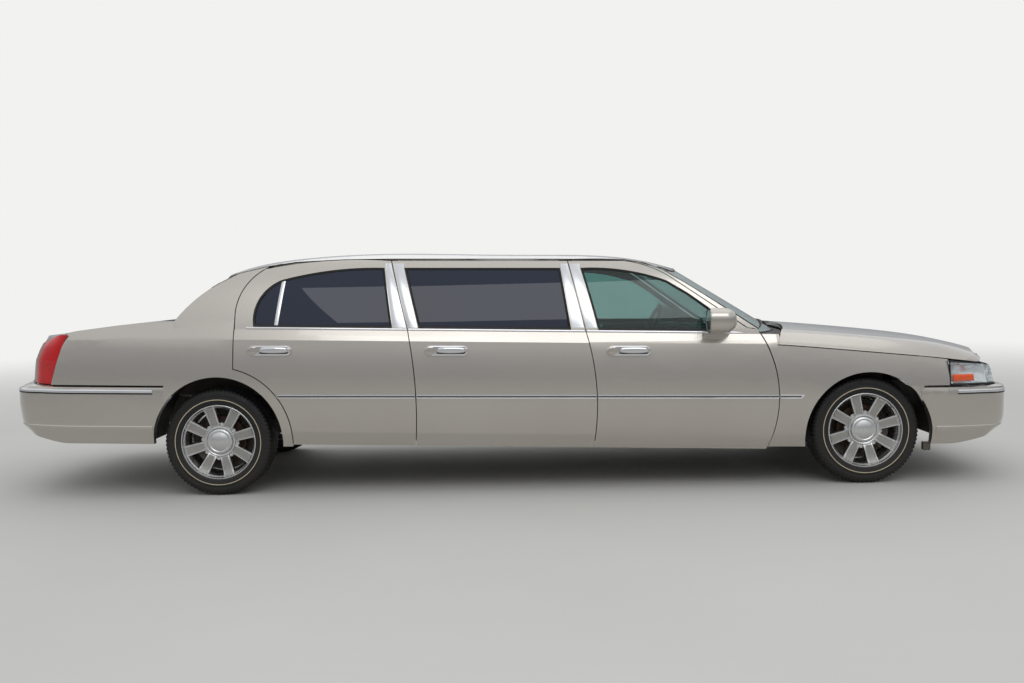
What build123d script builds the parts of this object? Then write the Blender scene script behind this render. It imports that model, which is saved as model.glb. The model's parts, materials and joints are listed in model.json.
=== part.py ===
# Six-door stretched limousine on a ladder frame.
# Millimetres. X points to the front, Y to the left, Z up. The origin is on the ground, midway along the car.
# Body pieces are drawn in a level frame, then leaned nose-down to the car's stance.

import os
from math import acos, atan, atan2, degrees, hypot, radians, tan

from build123d import *

# Overall sizes
WHEELBASE = 4184.0
FRONT_OVERHANG = 1043.5
REAR_OVERHANG = 1437.5
HALF_WIDTH = 993.0
LENGTH = WHEELBASE + FRONT_OVERHANG + REAR_OVERHANG
NOSE_X = LENGTH / 2
TAIL_X = -LENGTH / 2
FRONT_AXLE_X = NOSE_X - FRONT_OVERHANG
REAR_AXLE_X = TAIL_X + REAR_OVERHANG

# Stance: over the wheelbase the tail rides this much higher than the nose
STANCE_RISE = 76.0
STANCE_PIVOT_Z = 450.0
STANCE_ANGLE = degrees(atan(STANCE_RISE / WHEELBASE))
STANCE_LIFT = STANCE_RISE * FRONT_AXLE_X / WHEELBASE

# Gaps
PANEL_GAP = 6.0
DOOR_TOP_GAP = 11.0
DOOR_STEP = 22.0
DOOR_SKIN = 16.0
DOOR_LIP = 62.0
SEAT_GAP = 0.3

# Tyres and rims
TYRE_RADIUS = 346.0
TYRE_WIDTH = 225.0
TREAD_WIDTH = 184.0
TYRE_SHOULDER_DROP = 22.0
RIM_RADIUS = 236.0
RIM_SEAT_RADIUS = 217.0
RIM_WELL_RADIUS = 192.0
RIM_WIDTH = 200.0
RIM_WALL = 9.0
SPOKES = 8
SPOKE_WIDTH = 52.0
SPOKE_DEPTH = 30.0
SPOKE_FACE = 62.0
SPOKE_PHASE = 15.5
CENTRE_RADIUS = 98.0
LUG_CIRCLE = 114.3
LUG_COUNT = 5
LUG_BORE = 14.0
FRONT_TRACK = 1610.0
REAR_TRACK = 1640.0
SPINDLE_RADIUS = 22.0
HUB_RADIUS = 70.0
DISC_RADIUS = 156.0
DISC_THICKNESS = 26.0
DISC_FACE = 4.0
KINGPIN_INSET = 95.0
KINGPIN_Y = FRONT_TRACK / 2 - KINGPIN_INSET

# Body side section: heights, and how far each line lies in from the widest line
SILL_Z = 248.0
LOWER_CREASE_Z = 334.0
WIDEST_Z = 620.0
SHOULDER_Z = 920.0
SHOULDER_BEVEL = 31.0
BELT_Z = 985.0
SILL_INSET = 38.0
CREASE_INSET = 15.0
SHOULDER_INSET = 25.0
BEVEL_INSET = 35.0
BELT_INSET = 51.0
DOOR_WALL = 113.0
FENDER_WALL = 62.0
SIDE_FALL = 0.009

# Greenhouse side section
RAIL_Z = 1452.0
RAIL_Y = 752.0
GLASS_MIDDLE = (872.0, 1220.0)
FRAME_WALL = 46.0
PILLAR_WALL = 60.0
GLASS_THICKNESS = 5.0
GLASS_INSET = 14.0

# Wheel arches in the body frame
FRONT_ARCH_X = FRONT_AXLE_X + 5.0
FRONT_ARCH_Z = 318.0
REAR_ARCH_X = REAR_AXLE_X + 14.0
REAR_ARCH_Z = 280.0
FRONT_ARCH_RADIUS = 412.0
REAR_ARCH_RADIUS = 417.0
REAR_DOOR_ARCH = 480.0
LINER_RADIUS = 440.0
LINER_WALL = 5.0
LINER_INNER_Y = 461.3
REAR_LINER_INNER_Y = 600.0
LINER_TAB = 40.0

# Seams between doors, seen from the side
# columns: x at the roof, at the belt, at the moulding and at the sill
SEAMS = {
    "rear": (-797.0, -665.0, -611.0, -615.0),
    "front": (357.0, 478.0, 546.0, 525.0),
}
SEAM_TOP_Z = 1480.0
SEAM_LOW_Z = 230.0
MOULDING_LOW_Z = 563.0
MOULDING_TOP_Z = 586.0
MOULDING_PROUD = 7.0

# Back edge of the rear door: foot of the upright part, bend and head at the roof
# columns: x, height, and how far a sideways shift also lowers the point
TAIL_SEAM = ((-1774.0, 1090.0, 0.0), (-1722.0, 1272.0, 0.3), (-1572.0, 1404.0, 0.6))

# Front edge of the front door, and its frame along the windscreen pillar
# columns: x, height, and how far a sideways shift also raises the point
COWL_SEAM = ((1576.0, 1004.0, 1.0), (1701.0, 667.0, 0.0), (1638.0, SEAM_LOW_Z, 0.0))
COWL_FRAME = ((700.0, 1446.0, 1.0), (866.0, 1416.0, 0.8), (1004.0, 1355.0, 0.6), (1509.0, 1012.0, 0.6))

# Windscreen pillar silhouette: head, bend and foot
PILLAR_LINE = ((741.0, 1456.0), (985.0, 1390.0), (1583.0, 1004.0))

# Roof edge towards the tail, then the back edge of the rear pillar
ROOF_EDGE = ((-800.0, RAIL_Z), (-1411.0, 1430.0), (-1772.0, 1357.0))
REAR_PILLAR_EDGE = ((-1772.0, 1357.0), (-1975.0, 1240.0), (-2165.0, 1046.0))

# Windows, seen from the side
WINDOW_TOP_Z = 1396.0
WINDOW_SILL_RISE = 16.0

# columns: door name, seam ahead, seam behind, x of the handle's middle
DOORS = (
    ("front", "cowl", "front", 747.0),
    ("middle", "front", "rear", -415.0),
    ("rear", "rear", "tail", -1541.0),
)
SIDE_SPAN = (-1850.0, 1750.0)
HANDLE_Z = 866.0
HANDLE_LENGTH = 273.0
HANDLE_HEIGHT = 58.0
HANDLE_PROUD = 24.0
HANDLE_PLATE = 8.0
HANDLE_ROOT_Y = HALF_WIDTH - 18.0
HANDLE_GRIP_HEIGHT = 28.0
HANDLE_GRIP_RISE = 6.0

# Door mirrors: middle and size of the shell, and the sail plate ahead of the window
MIRROR_CENTRE = (1322.0, 1072.0, 1062.0)
MIRROR_SIZE = (172.0, 176.0, 160.0)
MIRROR_ROUND = 42.0
MIRROR_ARM = (1352.0, 1404.0, 905.0, 1010.0, 1002.0, 1036.0)
SAIL_X = 1345.0

# Front fenders and hood
# columns: x, half width, shoulder height, height of the hood's outer crease, height of the hood's crown
FRONT_STATIONS = (
    (1500.0, 993.0, 906.5, 1008.0, 1040.0),
    (1760.0, 993.0, 897.0, 994.0, 1026.0),
    (2160.0, 990.0, 866.0, 967.0, 1001.0),
    (2560.0, 970.0, 832.0, 931.0, 967.0),
    (2960.0, 926.0, 794.0, 886.0, 922.0),
    (3300.0, 872.0, 764.0, 818.0, 846.0),
)
FENDER_END_X = 2816.0
FENDER_TOP_GAP = 6.0
HOOD_CREASE_SHARE = 0.76
HOOD_THICKNESS = 28.0
HOOD_FLANGE = 26.0
HOOD_REAR_EDGE = ((1692.0, 1000.0), (1900.0, 0.0))
HOOD_NOSE_SETBACK = 8.0

# Nose and tail plan lines: corners of a polyline and the radius at each
NOSE_PLAN = ((2500.0, 974.0), (2880.0, 934.0), (3195.0, 815.0), (3272.0, 0.0))
NOSE_RADII = (900.0, 190.0, 3600.0)
TAIL_PLAN = ((-2700.0, 930.0), (-2960.0, 905.0), (-3205.0, 800.0), (-3275.0, 0.0))
TAIL_RADII = (900.0, 190.0, 4000.0)

# Bumpers
FRONT_BUMPER_PLAN = ((2500.0, 978.0), (2900.0, 945.0), (3268.0, 838.0), (NOSE_X, 0.0))
REAR_BUMPER_PLAN = ((-2000.0, 984.0), (-2900.0, 938.0), (-3268.0, 838.0), (TAIL_X, 0.0))
BUMPER_RADII = (900.0, 200.0, 5000.0)
BUMPER_TOP_Z = 636.0
BUMPER_STEP_Z = 600.0
BUMPER_CREASE_Z = 372.0
BUMPER_LOW_Z = 262.0
BUMPER_WALL = 56.0

# Lamps
HEADLAMP_LOW_Z = 644.0
HEADLAMP_TOP = ((2816.0, 803.0), (3300.0, 756.0))
HEADLAMP_DEPTH = 60.0
HEADLAMP_INNER_Y = 372.0
HEADER_WALL = 30.0
HOOD_STOP_X = 3153.0
HOOD_STOP_Y = 560.0
HOOD_STOP_RADIUS = 12.0
TAILLAMP_Z = (644.0, 962.0)
TAILLAMP_DEPTH = 42.0
TAILLAMP_FRONT = ((-2896.0, 965.0), (-2993.0, 640.0))
LAMP_SEAM = 0.4

# Grille
GRILLE_HALF_WIDTH = 352.0
GRILLE_Z = (642.0, 806.0)
GRILLE_DEPTH = 50.0
GRILLE_FRONT_X = 3300.0
GRILLE_FRAME = 26.0
GRILLE_BARS = 17
GRILLE_BAR_WIDTH = 11.0

# Roof
# columns: x, half width, edge height, crown height
ROOF_STATIONS = (
    (1180.0, 852.0, 1272.0, 1396.0),
    (985.0, 792.0, 1390.0, 1447.0),
    (741.0, 752.0, 1450.0, 1484.0),
    (300.0, 752.0, 1452.0, 1501.0),
    (-500.0, 752.0, 1452.0, 1507.0),
    (-1100.0, 754.0, 1447.0, 1500.0),
    (-1500.0, 768.0, 1421.0, 1468.0),
    (-1772.0, 800.0, 1357.0, 1423.0),
    (-1920.0, 838.0, 1288.0, 1376.0),
)
ROOF_EDGE_THICKNESS = 5.0
ROOF_THICKNESS = 26.0

# Windscreen and rear window: foot and head on the centre line, and the radius of the bow
SCREEN_FOOT = (1838.0, 992.0)
SCREEN_HEAD = (1085.0, 1440.0)
SCREEN_BOW = 3000.0
SCREEN_LOW_Z = 972.0
BACKLIGHT_FOOT = (-2330.0, 1045.0)
BACKLIGHT_HEAD = (-1890.0, 1400.0)
BACKLIGHT_BOW = 3600.0
BACKLIGHT_LOW_Z = 1054.0
SCREEN_REACH = 940.0
SCREEN_GAP = 3.0
SCREEN_THICKNESS = 6.0

# Rear quarters
QUARTER_START_X = -1380.0
HAUNCH_REACH = 260.0
SHELF_SIDE_GAP = 38.0
SHELF_TAB_X = (-1802.0, -1745.0)
STRIKER_X = (-1800.0, -1784.0, -1736.0)
STRIKER_Z = (850.0, 880.0)
STRIKER_INNER_Y = 862.0

# Deck behind the rear window
# columns: x, height
DECK_LINE = ((-1380.0, 1050.0), (-2330.0, 1046.0), (-2546.0, 1022.0), (-2930.0, 970.0), (-3300.0, 926.0))
LID_HALF_WIDTH = 748.0
LID_FRONT_X = -2365.0
LID_LOW_Z = 652.0
LID_THICKNESS = 32.0
LID_STOP_Y = 600.0
LID_REAR_BOW = 4800.0
LID_REAR_X = -3278.0

# Cabin inside
FLOOR_Z = 396.0
FLOOR_THICKNESS = 6.0
REAR_FLOOR_RISE = 142.0
COWL_HALF_WIDTH = 866.0
POST_WIDTH = 90.0
POST_GAP = 9.0
POST_WALL = 40.0
POST_INNER_Y = 812.0
POST_STEP_Z = 1000.0
POST_STRIKER_Z = (640.0, 700.0)
CANT_RAIL_Y = (636.0, 696.0)
HINGE_POST_X = (1590.0, 1670.0)
HINGE_POST_Y = 852.0
SILL_INNER_Y = 780.0
SILL_OUTER_Y = 860.0
LINER_OUTER_Y = 866.0
COWL_PLATE_X = 1604.0
SILL_TOP_Z = 404.0

# Frame
RAIL_SPAN = 430.0
RAIL_WIDTH = 62.0
RAIL_LOW_Z = 262.0
RAIL_HIGH_Z = FLOOR_Z - FLOOR_THICKNESS
CROSS_WIDTH = 90.0
# columns: x, lower height, upper height
CROSS_MEMBERS = (
    (3100.0, 310.0, 410.0),
    (FRONT_AXLE_X, 236.0, 402.0),
    (1350.0, RAIL_LOW_Z, 300.0),
    (200.0, RAIL_LOW_Z, 290.0),
    (-950.0, RAIL_LOW_Z, 288.0),
    (-3080.0, 404.0, 460.0),
)
BODY_MOUNTS = (1450.0, 850.0, 0.0, -850.0)
BRACKET_HALF = 25.0
BRACKET_REACH = 3255.0
FRONT_BRACKET_Z = (376.0, 416.0)
REAR_BRACKET_Z = (400.0, 440.0)
# columns: rear end, front end, half width, height above the floor
TUNNEL = ((520.0, 1641.0, 190.0, 170.0), (-1331.0, 520.0, 110.0, 78.0))

# Exhaust
EXHAUST_Y = -290.0
EXHAUST_Z = 334.0
TAILPIPE_Z = 362.0
TAILPIPE_END_X = -3200.0
TAILPIPE_DEPTH = 200.0
PIPE_RADIUS = 30.0
PIPE_BEND = 110.0
TAILPIPE_BORE = 26.0
SILENCER_RADIUS = 72.0

# Brakes and front suspension
SPINDLE_REACH = 38.0
HUB_FACE = 44.0
HUB_BACK = -58.0
DISC_OFFSET = -12.0
CALIPER_OUTER = 172.0
CALIPER_INNER = 104.0
CALIPER_WIDTH = 72.0
CALIPER_GAP = 5.0
CALIPER_ANGLE = 56.0
CALIPER_SHIFT = -4.0
BRACKET_BACK = -96.0
ARM_LOW_Z = 262.0
ARM_HIGH_Z = 450.0
KINGPIN_RADIUS = 22.0
ARM_ROOT_Y = RAIL_SPAN + RAIL_WIDTH / 2 + SEAT_GAP

# Rear axle in the ground frame: pinion nose and springs
PINION_X = -1731.4
PINION_Z = 379.0
SPRING_RADIUS = 28.0
SPRING_TOP_Z = 477.1

# Steering wheel
STEERING_RADIUS = 186.0
STEERING_GRIP = 14.0
STEERING_COLUMN = 330.0
COLUMN_RADIUS = 22.0
STEERING_TILT = 25.0
STEERING_CENTRE = (1070.0, 370.0, 950.0)

# Seats
# columns: foot of the back, right edge, left edge, cushion reach, cushion height above the floor
FRONT_SEATS = ((420.0, 90.0, 650.0, 520.0, 300.0), (420.0, -650.0, -90.0, 520.0, 300.0))
MIDDLE_SEAT = (-500.0, -690.0, 690.0, 520.0, 300.0)
REAR_SEAT = (-1420.0, -640.0, 640.0, 480.0, 330.0)
FLAT_FLOOR_X = -1322.0

os.makedirs("parts", exist_ok=True)


def lean(shape):
    """Lean a body piece from its level frame to the car's stance."""
    return Pos(0, 0, STANCE_PIVOT_Z + STANCE_LIFT) * Rot(0, STANCE_ANGLE, 0) * Pos(0, 0, -STANCE_PIVOT_Z) * shape


def flip(shape):
    """The same piece on the other side of the car."""
    return mirror(shape, about=Plane.XZ)


def save(name, *pieces, leaned=True):
    """Write one node to its own file."""
    found = [solid for piece in pieces for solid in piece.solids()]
    placed = [lean(solid) for solid in found] if leaned else found
    shape = placed[0] if len(placed) == 1 else Compound(children=placed)
    shape.label = name
    export_step(shape, f"parts/{name}.step")


def block(x0, x1, y0, y1, z0, z1):
    """A plain block between two corners."""
    middle = Pos((x0 + x1) / 2, (y0 + y1) / 2, (z0 + z1) / 2)
    return middle * Box(abs(x1 - x0), abs(y1 - y0), abs(z1 - z0))


def rod(start, end, radius):
    """A round bar between two points."""
    path = Line(start, end)
    return extrude(Plane(origin=start, z_dir=path % 0) * Circle(radius), amount=path.length)


def side_prism(face, y0, y1):
    """Extrude a face drawn in X and Z from y0 to y1."""
    return extrude(Plane.XZ.offset(-y0) * face, amount=-(y1 - y0))


def side_shape(points):
    """Closed face from points in X and Z."""
    return make_face(Polyline(*points, close=True))


def arch_drum(x, z, radius, y0, y1):
    """A drum across the car that cuts a wheel arch."""
    return side_prism(Pos(x, z) * Circle(radius), y0, y1)


def belt_z(x):
    """Height of the window line at x."""
    return BELT_Z - SIDE_FALL * x


def along_body(face, x0, x1, fall=0.0):
    """Extrude a Y-Z section from x0 to x1, dropping by fall for each millimetre."""
    solid = extrude(Plane.YZ.offset(x0) * face, amount=(x1 - x0) * hypot(1.0, fall), dir=Vector(1.0, 0.0, -fall))
    return Pos(0, 0, -fall * x0) * solid


def across(plan, radii):
    """Tangent line round one end of the car in plan, from left to right; the rounded tip lies on the last point."""
    corner_x, corner_y = plan[-2]
    tip_x = plan[-1][0]
    radius = radii[-1]
    depth = radius - abs(tip_x - corner_x)
    slope = atan2(corner_y, depth) - acos(radius / hypot(corner_y, depth))
    reach = corner_y * tan(slope)
    tip = Vector(corner_x + (reach if tip_x > 0 else -reach), 0, 0)
    left = [Vector(x, y, 0) for x, y in plan[:-1]]
    right = [Vector(x, -y, 0) for x, y in reversed(plan[:-1])]
    return FilletPolyline(*left, tip, *right, radius=list(radii) + list(reversed(radii[:-1])))


def inward(path):
    """Level direction from the start of a plan line towards the middle of the car."""
    side = Vector(0, 0, 1).cross(path % 0)
    return side if side.Y < 0 else side * -1


# Seams


def shifted(points, shift, lift):
    """Points of a seam moved along the car; lift is +1 or -1 for the height share of each point."""
    return [(x + shift, z + lift * shift * share) for x, z, share in points]


def seam(name, shift):
    """Edges of one seam from roof to sill, moved along the car by shift."""
    if name == "tail":
        foot, bend, head = shifted(TAIL_SEAM, shift, -1.0)
        return [Line((head[0] + 90.0, SEAM_TOP_Z), head), ThreePointArc(head, bend, foot),
                Line(foot, (foot[0], SEAM_LOW_Z))]
    if name == "cowl":
        head, crest, bend, foot = shifted(COWL_FRAME, shift, 1.0)
        top, middle, low = shifted(COWL_SEAM, shift, 1.0)
        return [Line((head[0], SEAM_TOP_Z), head), ThreePointArc(head, crest, bend), Polyline(bend, foot, top),
                ThreePointArc(top, middle, low)]
    top_x, belt_x, moulding_x, sill_x = SEAMS[name]
    belt = (belt_x + shift, belt_z(belt_x))
    moulding = (moulding_x + shift, MOULDING_TOP_Z)
    return [Line((top_x + shift, SEAM_TOP_Z), belt), ThreePointArc(belt, moulding, (sill_x + shift, SEAM_LOW_Z))]


def between(ahead, behind):
    """Face in X and Z between two seam lines."""
    return make_face(ahead + behind + [Line(ahead[0] @ 0, behind[0] @ 0), Line(ahead[-1] @ 1, behind[-1] @ 1)])


def under_roof_edge():
    """Space in X and Z under the roof edge and ahead of it under the windscreen pillar, where the doors stand."""
    level, tail = roof_edge(ROOF_EDGE_THICKNESS)
    pillar = seam("cowl", PANEL_GAP / 2)[1]
    start = (pillar @ 0).X
    low = 1200.0
    rest = Polyline(pillar @ 1, ((pillar @ 1).X, low), ((tail @ 1).X, low), tail @ 1)
    return make_face([Line((start, (level @ 0).Y), tail @ 0), tail, rest, pillar,
                      Line((start, (level @ 0).Y), pillar @ 0)])


# Sections of the body side


def side_line(half_width, shoulder_z):
    """Outer line of the lower body side: creases and bulge up to the shoulder."""
    sill = (half_width - SILL_INSET, SILL_Z)
    crease = (half_width - CREASE_INSET, LOWER_CREASE_Z)
    shoulder = (half_width - SHOULDER_INSET, shoulder_z)
    return [Line(sill, crease), ThreePointArc(crease, (half_width, WIDEST_Z), shoulder)]


def door_section():
    """Closed section of a door below the belt, in Y and Z."""
    edges = side_line(HALF_WIDTH, SHOULDER_Z)
    bevel = (HALF_WIDTH - BEVEL_INSET, SHOULDER_Z + SHOULDER_BEVEL)
    belt = (HALF_WIDTH - BELT_INSET, BELT_Z)
    inner = HALF_WIDTH - DOOR_WALL
    rest = Polyline(edges[-1] @ 1, bevel, belt, (inner, BELT_Z), (inner, SILL_Z), edges[0] @ 0)
    return make_face(edges + [rest])


def fender_section(half_width, shoulder_z):
    """Closed section of a fender up to the shoulder, in Y and Z."""
    edges = side_line(half_width, shoulder_z)
    inner = half_width - FENDER_WALL
    rest = Polyline(edges[-1] @ 1, (inner, shoulder_z), (inner, SILL_Z), edges[0] @ 0)
    return make_face(edges + [rest])


def glass_curve(inset):
    """Curve of the side glass in Y and Z from belt to rail, moved in by an inset."""
    belt = (HALF_WIDTH - BELT_INSET - inset, BELT_Z - 20.0)
    middle = (GLASS_MIDDLE[0] - inset, GLASS_MIDDLE[1])
    return ThreePointArc(belt, middle, (RAIL_Y - inset, RAIL_Z))


def glass_strip(outer, inner):
    """Closed strip between two insets of the side glass curve."""
    out = glass_curve(outer)
    inn = glass_curve(inner)
    return make_face([out, inn, Line(out @ 0, inn @ 0), Line(out @ 1, inn @ 1)])


def cabin_core(inset, z0, z1, x0, x1):
    """Solid space between the two side glass curves, moved in by an inset."""
    left = glass_curve(inset)
    right = mirror(left, about=Plane.YZ)
    edges = [left, right, Line(left @ 1, right @ 1), Line(left @ 0, right @ 0)]
    return along_body(make_face(edges), x0, x1) & block(x0, x1, -HALF_WIDTH, HALF_WIDTH, z0, z1)


# Doors


def window_face(name):
    """Outline of one side window in X and Z."""
    def sill(x):
        return (x, belt_z(x) + WINDOW_SILL_RISE)
    if name == "rear":
        back = ThreePointArc(sill(-1654.0), (-1612.0, 1218.0), (-1487.0, 1317.0))
        top = ThreePointArc(back @ 1, (-1180.0, 1378.0), (-829.0, WINDOW_TOP_Z))
        return make_face([back, top, Polyline(top @ 1, sill(-765.0), back @ 0)])
    if name == "middle":
        return side_shape([sill(-597.0), sill(382.0), (317.0, WINDOW_TOP_Z), (-701.0, WINDOW_TOP_Z)])
    top = ThreePointArc((448.0, WINDOW_TOP_Z), (800.0, 1372.0), (1004.0, 1316.0))
    return make_face([top, Polyline(top @ 1, (1140.0, 1234.0), (SAIL_X, 1086.0), sill(SAIL_X), sill(556.0), top @ 0)])


def roof_edge(drop):
    """Roof edge in X and Z from the windscreen to the rear pillar, lowered by drop."""
    tail = ThreePointArc(*[(x, z - drop) for x, z in ROOF_EDGE])
    return [Line((PILLAR_LINE[0][0] + 200.0, RAIL_Z - drop), tail @ 0), tail]


def above_roof_edge(drop):
    """Everything above the roof edge on the left side."""
    level, tail = roof_edge(drop)
    far = Polyline(tail @ 1, (-2500.0, 1357.0 - drop), (-2500.0, 1700.0), ((level @ 0).X, 1700.0), level @ 0)
    return side_prism(make_face([level, tail, far]), 400.0, 1100.0)


def door_handle(x):
    """Pull handle: a rounded plate with a bowed grip on it."""
    root = Plane.XZ.offset(-HANDLE_ROOT_Y)
    plate = root * Pos(x, HANDLE_Z) * SlotOverall(HANDLE_LENGTH, HANDLE_HEIGHT)
    grip = root * Pos(x, HANDLE_Z + HANDLE_GRIP_RISE) * SlotOverall(HANDLE_LENGTH - 26.0, HANDLE_GRIP_HEIGHT)
    return extrude(plate, amount=-(HANDLE_PROUD - HANDLE_PLATE)) + extrude(grip, amount=-(HANDLE_PROUD + HANDLE_PLATE))


def rear_step(name):
    """Space that steps a door's rear edge in behind its skin, so that it swings clear of the next door."""
    strip = side_prism(between(seam(name, DOOR_STEP), seam(name, 0.0)), 600.0, 1100.0)
    inside = block(*SIDE_SPAN, 600.0, HALF_WIDTH - DOOR_LIP, 200.0, BELT_Z - 20.0)
    return strip & (inside + cabin_core(DOOR_SKIN, BELT_Z - 21.0, 1500.0, *SIDE_SPAN))


def left_door(name, front, rear, handle_x):
    """One left door: thick wall, framed window opening, moulding and handle."""
    wall = along_body(door_section(), *SIDE_SPAN, SIDE_FALL) + along_body(glass_strip(0.0, FRAME_WALL), *SIDE_SPAN)
    wall += block(*SIDE_SPAN, HALF_WIDTH - 20.0, HALF_WIDTH + MOULDING_PROUD, MOULDING_LOW_Z, MOULDING_TOP_Z)
    outline = between(seam(front, -PANEL_GAP / 2), seam(rear, PANEL_GAP / 2))
    wall = wall & side_prism(outline, 600.0, 1100.0)
    wall -= rear_step(rear)
    wall -= side_prism(window_face(name), 600.0, 1000.0)
    wall -= above_roof_edge(DOOR_TOP_GAP)
    if rear == "tail":
        wall -= arch_drum(REAR_ARCH_X, REAR_ARCH_Z, REAR_DOOR_ARCH + PANEL_GAP / 2, 600.0, 1100.0)
    return wall + door_handle(handle_x)


def left_glass(name):
    """Side glass set inside its frame."""
    pane = along_body(glass_strip(GLASS_INSET, GLASS_INSET + GLASS_THICKNESS), *SIDE_SPAN)
    return pane & side_prism(window_face(name), 600.0, 1000.0)


def left_mirror():
    """Door mirror: a rounded shell on a short arm from the sail plate ahead of the window."""
    shell = Pos(*MIRROR_CENTRE) * Box(*MIRROR_SIZE)
    shell = fillet(shell.edges(), MIRROR_ROUND)
    return shell + block(*MIRROR_ARM)


# Front end


def left_fender():
    """Left front fender from the door seam to the lamp, with its wheel arch cut."""
    wall = loft([Plane.YZ.offset(x) * fender_section(w, z) for x, w, z, crease, crown in FRONT_STATIONS])
    upper = along_body(door_section(), *SIDE_SPAN, SIDE_FALL)
    upper = upper & side_prism(side_shape([(1560, 880), (1700, 880), (1684, 1030), (1560, 1030)]), 800.0, 1100.0)
    shape = wall + upper
    seam_line = seam("cowl", PANEL_GAP / 2)[2:]
    seam_cut = make_face(seam_line + [Polyline(seam_line[-1] @ 1, (1000.0, SEAM_LOW_Z), seam_line[0] @ 0)])
    shape -= side_prism(seam_cut, 700.0, 1100.0)
    shape -= arch_drum(FRONT_ARCH_X, FRONT_ARCH_Z, FRONT_ARCH_RADIUS, 600.0, 1100.0)
    shape -= block(2500.0, 3400.0, 600.0, 1100.0, 0.0, BUMPER_TOP_Z + PANEL_GAP)
    shape -= block(FENDER_END_X, 3400.0, 600.0, 1100.0, 0.0, 1000.0)
    shape -= block(0.0, 3400.0, 0.0, LINER_OUTER_Y, 0.0, 1100.0)
    return shape + liner_tab(FRONT_ARCH_X, FRONT_ARCH_Z, FRONT_ARCH_RADIUS)


def liner_tab(x, z, arch_radius):
    """Tab at the top of an arch that joins the panel to the liner's outer edge."""
    top = z + LINER_RADIUS + LINER_WALL
    return block(x - LINER_TAB, x + LINER_TAB, LINER_OUTER_Y + SEAT_GAP, HALF_WIDTH - FENDER_WALL + 5.0,
                 z + arch_radius + 8.0, top)


def left_front_liner():
    """Inner arch over the front wheel."""
    outer = arch_drum(FRONT_ARCH_X, FRONT_ARCH_Z, LINER_RADIUS + LINER_WALL, LINER_INNER_Y, LINER_OUTER_Y)
    inner = arch_drum(FRONT_ARCH_X, FRONT_ARCH_Z, LINER_RADIUS, LINER_INNER_Y - 1.0, 900.0)
    return (outer - inner) & block(1500, 3200, 400, 900, FRONT_ARCH_Z, 1000)


def left_rear_liner():
    """Inner arch over the rear wheel."""
    outer = arch_drum(REAR_ARCH_X, REAR_ARCH_Z, LINER_RADIUS + LINER_WALL, REAR_LINER_INNER_Y, LINER_OUTER_Y)
    inner = arch_drum(REAR_ARCH_X, REAR_ARCH_Z, LINER_RADIUS, LINER_INNER_Y, 900.0)
    return (outer - inner) & block(-2500, -1300, 500, 900, REAR_ARCH_Z, 1000)


def hood_section(half_width, shoulder_z, crease_z, crown_z):
    """Closed section of the hood: rolled sides, creases and a crowned middle, with an inner skin."""
    edge_y = half_width - SHOULDER_INSET
    edge_z = shoulder_z + FENDER_TOP_GAP
    crease_y = half_width * HOOD_CREASE_SHARE
    rise = crease_z - edge_z
    outer = ((edge_y, edge_z), (edge_y - 0.3 * (edge_y - crease_y), edge_z + 0.72 * rise), (crease_y, crease_z))
    inner_y = edge_y - HOOD_FLANGE
    inner = ((inner_y, edge_z), (inner_y - 0.3 * (inner_y - crease_y), edge_z + 0.72 * (rise - HOOD_THICKNESS)),
             (crease_y - 4.0, crease_z - HOOD_THICKNESS))
    edges = []
    for (edge, roll, crease), crown in ((outer, crown_z), (inner, crown_z - HOOD_THICKNESS)):
        edges.append(ThreePointArc(edge, roll, crease))
        edges.append(ThreePointArc(crease, (0, crown), (-crease[0], crease[1])))
        edges.append(ThreePointArc((-edge[0], edge[1]), (-roll[0], roll[1]), (-crease[0], crease[1])))
    edges += [Line(outer[0], inner[0]), Line((-edge_y, edge_z), (-inner_y, edge_z))]
    return make_face(edges)


def hood():
    """Hood from the cowl to the nose, trimmed to its plan."""
    slab = loft([Plane.YZ.offset(x) * hood_section(*sizes) for x, *sizes in FRONT_STATIONS])
    side_x, centre_x = HOOD_REAR_EDGE
    rear = ThreePointArc((side_x[0], side_x[1]), centre_x, (side_x[0], -side_x[1]))
    nose = across(NOSE_PLAN, NOSE_RADII)
    nose = Pos(-HOOD_NOSE_SETBACK, 0, 0) * nose
    start = nose @ 0
    plan = make_face([rear, nose, Polyline(rear @ 0, (side_x[0], start.Y, 0), start),
                      Polyline(rear @ 1, (side_x[0], -start.Y, 0), nose @ 1)])
    return slab & extrude(Pos(0, 0, 500) * plan, amount=700)


def end_band(plan, radii, near, deep, z0, z1):
    """Band along a plan line between two depths inside it."""
    path = across(plan, radii)
    corners = ((near, z0), (near, z1), (deep, z1), (deep, z0))
    points = [path @ 0 + inward(path) * step + Vector(0, 0, z) for step, z in corners]
    return sweep(make_face(Polyline(*points, close=True)), path=path)


def bumper(plan):
    """Bumper cover swept round one end of the car."""
    path = across(plan, BUMPER_RADII)
    # columns: depth from the outer line, height
    outline = ((26.0, BUMPER_TOP_Z), (6.0, BUMPER_TOP_Z - 8.0), (0.0, BUMPER_STEP_Z), (0.0, BUMPER_CREASE_Z),
               (26.0, BUMPER_LOW_Z), (BUMPER_WALL + 10.0, BUMPER_LOW_Z), (BUMPER_WALL, BUMPER_CREASE_Z),
               (BUMPER_WALL, BUMPER_TOP_Z))
    points = [path @ 0 + inward(path) * depth + Vector(0, 0, z) for depth, z in outline]
    return sweep(make_face(Polyline(*points, close=True)), path=path)


def front_bumper():
    """Front bumper, ended by the wheel arches."""
    shape = bumper(FRONT_BUMPER_PLAN)
    for y0, y1 in ((500.0, 1100.0), (-1100.0, -500.0)):
        shape -= arch_drum(FRONT_ARCH_X, FRONT_ARCH_Z, FRONT_ARCH_RADIUS, y0, y1)
    return shape - block(2000.0, FRONT_ARCH_X + 330.0, -1100.0, 1100.0, 0.0, 900.0)


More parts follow.
